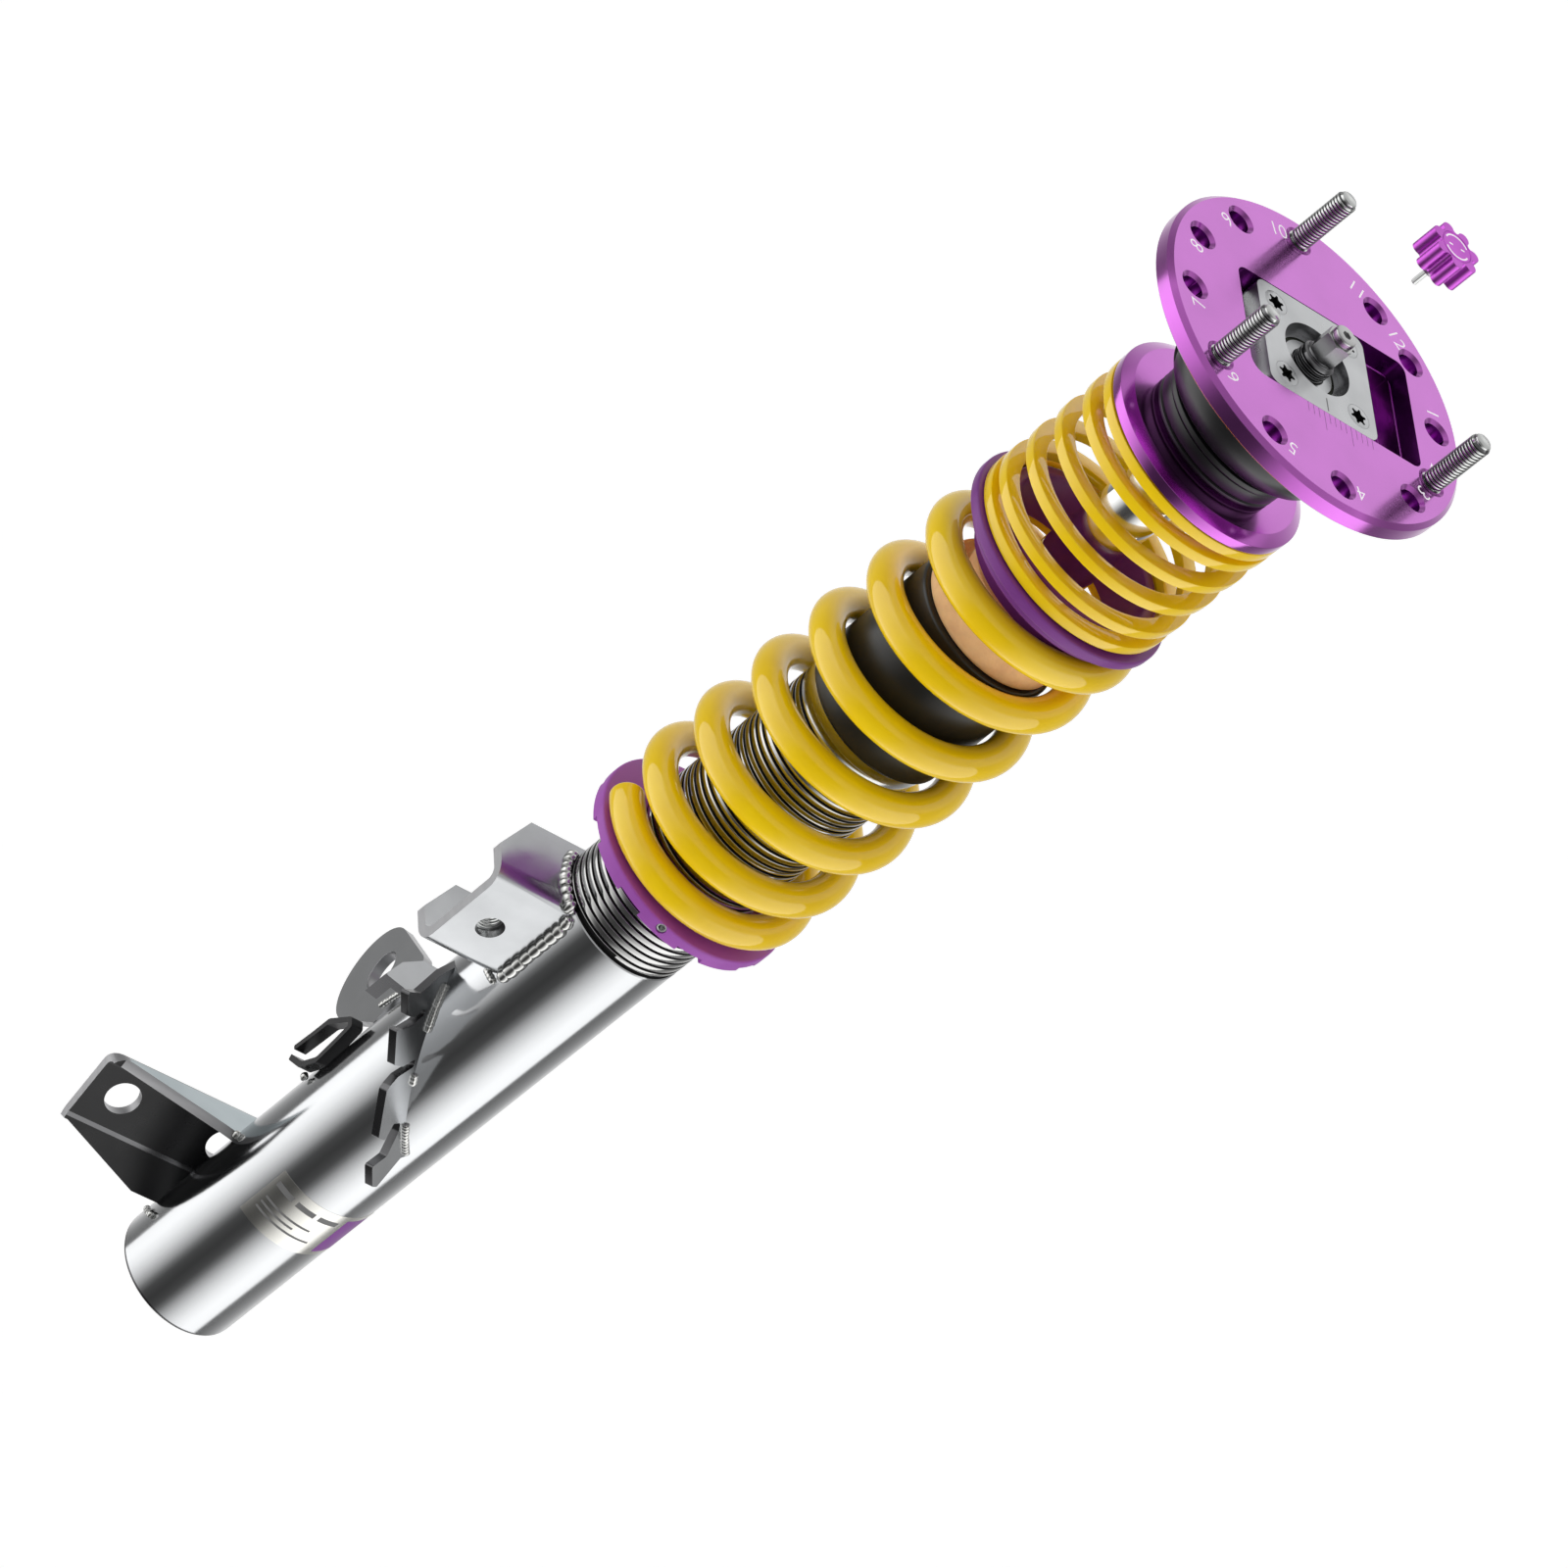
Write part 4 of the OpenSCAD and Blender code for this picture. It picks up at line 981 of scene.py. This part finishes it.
def bearings():
    stand_in(new_piece("thrust_lower_race", turned([
        (12.4, 551), (25.6, 551), (26.8, 552.2), *arc(26.5, 552.9, 0.3, 0, 90, 3), (26.2, 553.5),
        (23.7, 553.5), (23.7, 553.1), (12.4, 553.1)])), "bearing_lower_race")
    stand_in(new_piece("thrust_upper_race", turned([
        (12, 557.4), (24, 557.4), (24, 553.9), *arc(26.4, 554.4, 0.5, -90, 0, 3),
        *arc(26.4, 558.0, 0.5, 0, 60, 3), (26.1, 558.8), (26.1, 559.1), *arc(27.5, 559.8, 0.6, -60, 0, 3),
        *arc(27.5, 560.9, 0.5, 0, 90, 3), (12, 561.4)])), "bearing_upper_race")


# ---- top mount ----

def screw_places():
    return [spun(45 + 90 * i, SCREW_CIRCLE) for i in range(4)]


def slider_screw_tools(radius, low, high, sides=40):
    return [rod_between(radius, low, high, place, sides) for place in screw_places()]


def mount_cover():
    """Flared black dome under the plate, with a window cut in one side."""
    top = HIGH["mount_cover"].z
    cover = new_piece("mount_dome", turned([
        (27.6, 562.9), (28.6, 562.9), *arc(28.6, 563.4, 0.5, -90, -50, 2), (31.8, 564.6), (33.2, 566.0),
        (34.2, 567.8), (35.4, 570.0), (36.2, 572), (36.7, 574.2), (37, 577), (37, top), (35, top), (35, 577),
        (34.8, 574.6), (34.3, 572.6), (33.5, 570.7), (32.6, 569.2), (30.4, 566.2), (27.6, 564.6)]), 40)
    window = prism([(0, 0), polar(-52, 44).xy, polar(-29, 48).xy, polar(-6, 44).xy], 566.5, 584)
    carve(cover, window, sharp=40)
    stand_in(soften(cover, 0.3, 2, 50), "mount_cover")


def bearing_cup():
    flange_low, flange_high, r, well_r, well_floor = 586.8, HIGH["bearing_cup"].z, 31, 19, 577
    lower = new_piece("steel_cup", turned([
        (20, 568), (28.5, 568), *arc(r - 2, 571, 2, -60, 0, 4), (r, flange_low + 0.5),
        (r - 0.5, flange_low + 1), (well_r, flange_low + 1), (well_r, well_floor - 0.1),
        (15.5, well_floor - 0.1), (15.5, 573.5)]))
    x, y = 25, 30
    flange = prism(filleted([(-x, -y, 8), (x, -y, 8), (x, y, 8), (-x, y, 8)]), flange_low, flange_high)
    carve(lower, flange, operation="UNION")
    carve(lower, rod_between(well_r, well_floor, 600, None, STEPS), *slider_screw_tools(2.6, 570, 600))
    stand_in(soften(lower, 0.3, 2, 40), "bearing_cup")
    edge_material(lower, BLACK_OXIDE_AND_PAINTED_LIGHT, lambda centre, normal: normal.z > 0.9
                  and centre.z > flange_high - 0.3)


def camber_slider():
    low, high, x, y, corner = LOW["camber_slider"].z, HIGH["camber_slider"].z, 24, 23.5, 4
    well_r, well_top, mouth_r = 19, 593.4, 14.3
    slider = new_piece("slider_block", prism(filleted([
        (-x, -y, corner), (x, -y, corner), (x, y, corner), (-x, y, corner)]), low, high))
    carve(slider, rod_between(well_r, low - 2, well_top, None, STEPS),
          rod_between(mouth_r, 590, high + 2, None, STEPS),
          *slider_screw_tools(2.6, low - 2, high + 2), *slider_screw_tools(4.8, high - 2.9, high + 2))
    stand_in(soften(slider, 0.3, 2, 40), "camber_slider")
    # The wall of the recess round the rod is painted dark: painted shade on the recess wall.
    edge_material(slider, BLACK_OXIDE_AND_PAINTED_LIGHT, lambda centre, normal: centre.xy.length < mouth_r + 0.3
                  and abs(normal.z) < 0.3)
    mark = box(-1.75, 16.6, -1.25, 22.4, high - 0.02, high + 0.02)
    extra(new_piece("slider_mark", mark), "mount_block", "black_plastic", LABEL_INK)


def slider_screws():
    top = HIGH["slider_screws"].z
    heads = []
    for place in screw_places():
        head = new_piece("screw", turned([
            (0, 588), (2.6, 588), (2.6, top - 2.9), (4.78, top - 2.9),
            *arc(4.63, top - 0.15, 0.15, 0, 90, 2), (0, top)], 56))
        star = []
        for k in range(6):
            star += arc(*polar(60 * k, 2.85).xy, 0.6, 60 * k - 60, 60 * k + 60, 5)
            star += arc(*polar(60 * k + 30, 3.25).xy, 1.05, 60 * k + 250, 60 * k + 170, 5)
        carve(head, prism(star, top - 2.1, top + 1))
        part = bmesh.new()
        part.from_mesh(head.data)
        bpy.data.objects.remove(head)
        heads.append(moved(part, place))
    screws = new_piece("slider_star_screws", joined(*heads))
    stand_in(soften(screws, 0.12, 2, 40), "slider_screws", look=MATERIALS["bearing_steel"])
    axes = [place.translation.xy for place in screw_places()]
    # The star sockets' walls and floors are painted black: painted shade inside the sockets.
    edge_material(screws, MATERIALS["black_plastic"],
                  lambda centre, normal: min((centre.xy - axis).length for axis in axes) < 3.8
                  and top - 2.3 < centre.z < top - 0.35)


def stud_places(angles):
    return [spun(angle, STUD_CIRCLE) for angle in angles]


def camber_plate():
    chamfer = 1.65
    plate = new_piece("plate_disc", turned([
        (0, PLATE_LOW), (PLATE_R - 0.5, PLATE_LOW), (PLATE_R, PLATE_LOW + 0.5),
        (PLATE_R, PLATE_TOP - chamfer), (PLATE_R - chamfer, PLATE_TOP), (0, PLATE_TOP)], 256))
    left, right, half = -43.6, 32.4, 23.75
    slot = prism(filleted([(left, -half, 4), (right, -half, 4), (right, half, 6), (left, half, 4)], 10),
                 PLATE_LOW - 2, PLATE_TOP + 2)
    tools = [slot]
    hole_r, mouth_r, mouth_low = 4.25, 5.65, PLATE_TOP - 1.25
    for place in stud_places(FREE_ANGLES):
        tools.append(rod_between(hole_r, PLATE_LOW - 2, PLATE_TOP + 2, place, 56))
        tools.append(rod_between(hole_r - 0.05, mouth_low, PLATE_TOP + 0.05, place, 56, mouth_r))
    for place in stud_places(STUD_ANGLES):
        tools.append(rod_between(hole_r - 0.05, mouth_low, PLATE_TOP + 0.05, place, 56, mouth_r))
        tools.append(rod_between(hole_r, PLATE_LOW - 2, PLATE_TOP + 2, place, 56))
    carve(plate, *tools, sharp=25)
    stand_in(soften(plate, 0.12, 2, 20), "camber_plate")
    # Bore and slot walls get the darker violet: painted shade inside the holes.
    edge_material(plate, PAINTED_BORE_SHADE, lambda centre, normal: abs(normal.z) < 0.2
                  and centre.xy.length < PLATE_R - 2)
    plate_numbers()
    plate_scale()


def slot_shield():
    """Violet tray under the slot's outer end, fixed to the cup's flange."""
    low, high, wall = 580.4, PLATE_LOW - 0.4, 1.8
    end_x, side_y, far_y = -43.6, -23.75, 17
    floor = box(end_x - wall, side_y - wall, -30, far_y, low, low + wall)
    tray = new_piece("slot_tray", floor)
    end = box(end_x - wall, side_y - wall, end_x, far_y, low + 0.5, high)
    side = box(end_x - 0.5, side_y - wall, -22, side_y, low + 0.5, high)
    carve(tray, end, operation="UNION")
    carve(tray, side, operation="UNION")
    extra(soften(tray, 0.2, 2), "mount_block", "violet_anodised")


def plate_numbers():
    """Dial numbers beside the stud holes, their tops turned outwards."""
    places = {1: 180, 2: 150, 3: 132, 4: 93, 5: 61, 6: 30,
              7: 0, 8: -30, 9: -60, 10: -90, 11: -128, 12: -150}
    radius, size = 51.9, 8.4
    parts = []
    for number, angle in places.items():
        beside = 8.6 if number < 10 else 9.8
        curve = bpy.data.curves.new("number", "FONT")
        curve.body = str(number)
        curve.size = size
        curve.align_x = "CENTER"
        curve.extrude = 0.03
        curve.offset = -0.09
        curve.resolution_u = 4
        text = bpy.data.objects.new("number", curve)
        bpy.context.scene.collection.objects.link(text)
        mesh = bpy.data.meshes.new_from_object(text.evaluated_get(bpy.context.evaluated_depsgraph_get()))
        place = spun(angle + beside, radius, PLATE_TOP) @ Matrix.Rotation(-math.pi / 2, 4, "Z")
        part = bmesh.new()
        part.from_mesh(mesh)
        bmesh.ops.transform(part, matrix=Matrix.Scale(MM, 4) @ place, verts=part.verts)
        parts.append(part)
        bpy.data.objects.remove(text)
        bpy.data.meshes.remove(mesh)
    # The numbers' ink glows faintly: painted light on the print.
    extra(new_piece("plate_numbers", joined(*parts)), "camber_plate_body", "white_polymer", INK_WHITE_PAINTED_GLOW)


def plate_scale():
    """Engraved scale along the slot's edge, every fifth line longer."""
    first, step, edge = 8.0, 2.4, 23.9
    lines = []
    for i in range(13):
        x = first - step * i
        length = 8.5 if i % 5 == 3 else 4.2
        lines.append(box(x, edge, x + 0.16, edge + length, PLATE_TOP - 0.02, PLATE_TOP + 0.015))
    extra(new_piece("plate_scale", joined(*lines)), "camber_plate_body", "violet_dark", INK_DARK)


def plate_studs():
    low, high = LOW["plate_studs"].z, HIGH["plate_studs"].z
    for name, place in zip(("a", "b", "c"), stud_places(STUD_ANGLES)):
        stud = thread(3.2, 4.0, PLATE_TOP, high - 0.6, 1.25, 40)
        grow(stud, high - 0.6, [(3.2, high - 0.3), (2.9, high - 0.02), (0.001, high)])
        grow(stud, PLATE_TOP, [(4.2, PLATE_TOP), (4.2, PLATE_LOW), (6.3, PLATE_LOW), (6.5, PLATE_LOW - 0.2),
                               (6.5, low + 0.5), (6.0, low), (0.001, low)])
        bmesh.ops.remove_doubles(stud, verts=stud.verts, dist=2e-6)
        piece = new_piece("stud_" + name, moved(stud, place), 50)
        axis = place.translation.xy
        if name == "a":
            stand_in(piece, "plate_studs")
        else:
            extra(piece, "camber_plate_body", "plated_steel")
        edge_material(piece, BLACK_OXIDE_AND_PAINTED_LIGHT, lambda centre, normal: (centre.xy - axis).length < 3.7
                      and PLATE_TOP + 0.1 < centre.z < high - 0.8)


# ---- adjuster knob ----

def adjuster_knob():
    low, high, r = LOW["adjuster_knob"].z, HIGH["adjuster_knob"].z - 0.03, 9.95
    lobes, first, lobe_r, valley_r, valley_at = 7, -21, 2.3, 1.25, 8.15
    outline = []
    for i in range(lobes):
        middle = first + 360 / lobes * i
        valley = middle + 180 / lobes
        outline += arc(*polar(middle, r - lobe_r).xy, lobe_r, middle - 95, middle + 95, 12)
        outline += arc(*polar(valley, valley_at).xy, valley_r, valley + 249.3, valley + 110.7, 10)[1:-1]
    knob = new_piece("knob_body", prism(outline, low, high), 50)
    carve(knob, rod_between(3, low - 2, low + 5.6, None, 40), sharp=50)
    dish = turned([(5.9, high - 0.25), (6.3, high - 0.25), (6.3, high + 1), (5.9, high + 1)], 96)
    carve(knob, dish, sharp=50)
    stand_in(soften(knob, 0.5, 4, 60), "adjuster_knob", look=KNOB_VIOLET)
    marks = []
    for start, end in ((20, 150), (200, 330)):
        path = [(polar(start + (end - start) * i / 24, 4.9, high), polar(start + (end - start) * i / 24),
                 Vector((0, 0, 1))) for i in range(25)]
        marks.append(swept(path, lambda i: [(-0.3, -0.02), (0.3, -0.02), (0.3, 0.02), (-0.3, 0.02)]))
    tips = [box(x, -0.3, x + 1.6, 0.3, high - 0.02, high + 0.02) for x in (-3.4, 1.8)]
    # The arrows' ink glows faintly: painted light on the print.
    extra(new_piece("knob_arrows", joined(*marks, *tips)), "knob", "white_polymer", INK_WHITE_PAINTED_GLOW)

    pin_low = LOW["knob_pin"].z
    pin = new_piece("knob_hex_pin", rod_between(1.2, pin_low, low - 0.5, None, 6))
    stand_in(soften(pin, 0.25, 2), "knob_pin")
    boss = new_piece("knob_pin_boss", turned([
        (0, low - 3), *arc(2.6, low - 2.6, 0.4, -90, 0, 3), (3, low + 5.5), (0, low + 5.5)], 64))
    extra(boss, "knob", "plated_steel")


# ---- studio ----

def white_floor():
    floor = new_piece("studio_floor", box(-30, -30, 30, 30, -0.02, 0))
    floor.data.transform(Matrix.Scale(1 / MM, 4))
    floor.location.z = -0.35
    paper = plastic("studio_white", (0.93, 0.93, 0.93), 0.9, 0.02, depth=0.01, tone=0.01)
    shader = paper.node_tree.nodes["Principled BSDF"]
    shader.inputs["Emission Color"].default_value = (1, 1, 1, 1)
    shader.inputs["Emission Strength"].default_value = 0.48
    floor.data.materials.append(paper)
    floor.visible_glossy = False


def studio_light(camera_azimuth):
    """World of two tall soft boxes beside the camera, a dark gap between them and a pale room behind."""
    world = bpy.data.worlds.new("studio")
    bpy.context.scene.world = world
    world.use_nodes = True
    tree = world.node_tree
    background = tree.nodes["Background"]
    background.inputs["Color"].default_value = (1, 1, 1, 1)

    def math_node(operation, *values):
        made = tree.nodes.new("ShaderNodeMath")
        made.operation = operation
        for socket, value in zip(made.inputs, values):
            if isinstance(value, (int, float)):
                socket.default_value = value
            else:
                tree.links.new(value, socket)
        return made.outputs[0]

    def ramp(factor, stops):
        made = tree.nodes.new("ShaderNodeValToRGB")
        elements = made.color_ramp.elements
        while len(elements) < len(stops):
            elements.new(0.5)
        for element, (position, level) in zip(elements, stops):
            element.position = position
            element.color = (level, level, level, 1)
        tree.links.new(factor, made.inputs["Fac"])
        return math_node("MULTIPLY", made.outputs["Color"], 1.0)

    direction = tree.nodes.new("ShaderNodeTexCoord").outputs["Generated"]
    turn = tree.nodes.new("ShaderNodeMapping")
    turn.inputs["Rotation"].default_value[2] = -math.radians(camera_azimuth)
    tree.links.new(direction, turn.inputs["Vector"])
    axes = tree.nodes.new("ShaderNodeSeparateXYZ")
    tree.links.new(turn.outputs["Vector"], axes.inputs["Vector"])
    x, y, z = axes.outputs
    beside = math_node("DIVIDE", math_node("ARCTAN2", math_node("ABSOLUTE", y), x), math.pi)
    level = math_node("ADD", math_node("DIVIDE", math_node("ARCSINE", z), math.pi), 0.5)

    peak = 1.65
    sides = [(0, 0.02), (16, 0.04), (24, 0.12), (32, 0.29), (48, 0.60), (64, 0.85), (80, 1.0),
             (103.4, 0.95), (104.6, 0.09), (128, 0.18), (144, 0.28), (160, 0.42), (180, 0.62)]
    boxes = ramp(beside, [(angle / 180, value) for angle, value in sides])
    room = ramp(beside, [(0, 0.28), (100 / 180, 0.36), (130 / 180, 0.42), (1, 0.42)])
    box_part = ramp(level, [((90 + a) / 180, v) for a, v in ((-84, 0), (-68, 1), (28, 1), (38, 0))])
    room_stops = ((28, 0), (38, 1), (60, 0.9), (76, 0.12), (90, 0.06))
    room_part = ramp(level, [((90 + a) / 180, v) for a, v in room_stops])
    soft = math_node("ADD", math_node("MULTIPLY", boxes, box_part), math_node("MULTIPLY", room, room_part))
    light = math_node("MULTIPLY", math_node("ADD", soft, 0.015), peak)
    seen = tree.nodes.new("ShaderNodeLightPath").outputs["Is Camera Ray"]
    strength = math_node("ADD", math_node("MULTIPLY", light, math_node("SUBTRACT", 1.0, seen)), seen)
    tree.links.new(strength, background.inputs["Strength"])


def camera():
    """Camera at the photograph's angle, rolled so that the strut runs up to the right."""
    data = bpy.data.cameras.new("camera")
    data.sensor_width = 36
    data.lens = 156.72
    data.clip_end = 60
    obj = bpy.data.objects.new("camera", data)
    right, up, back = (-0.7511, 0.0617, 0.6573), (0.4014, -0.7476, 0.5290), (0.5240, 0.6612, 0.5368)
    obj.matrix_world = Matrix((right, up, back)).transposed().to_4x4()
    obj.location = (1.2212, 1.5390, 1.5887)
    bpy.context.scene.collection.objects.link(obj)
    bpy.context.scene.camera = obj
    return math.degrees(math.atan2(back[1], back[0]))


for name, obj in frame["nodes"].items():
    for slot in obj.material_slots:
        slot.material = MATERIALS[SLOTS[name]]

azimuth = camera()
studio_light(azimuth)
white_floor()
PIECES = (
    strut_body, end_cap, bump_stop, knuckle_bracket, clevis_bracket, clevis_nut, stabiliser_tab,
    comb_bracket, hose_arm, hose_clip, welds, label, main_spring, helper_spring, spring_perch,
    spring_coupler, piston_rod, adjuster, upper_seat, bearings, mount_cover, bearing_cup,
    camber_slider, slider_screws, camber_plate, slot_shield, plate_studs, adjuster_knob)
for build in PIECES:
    build()

bpy.context.scene.view_settings.view_transform = "Standard"
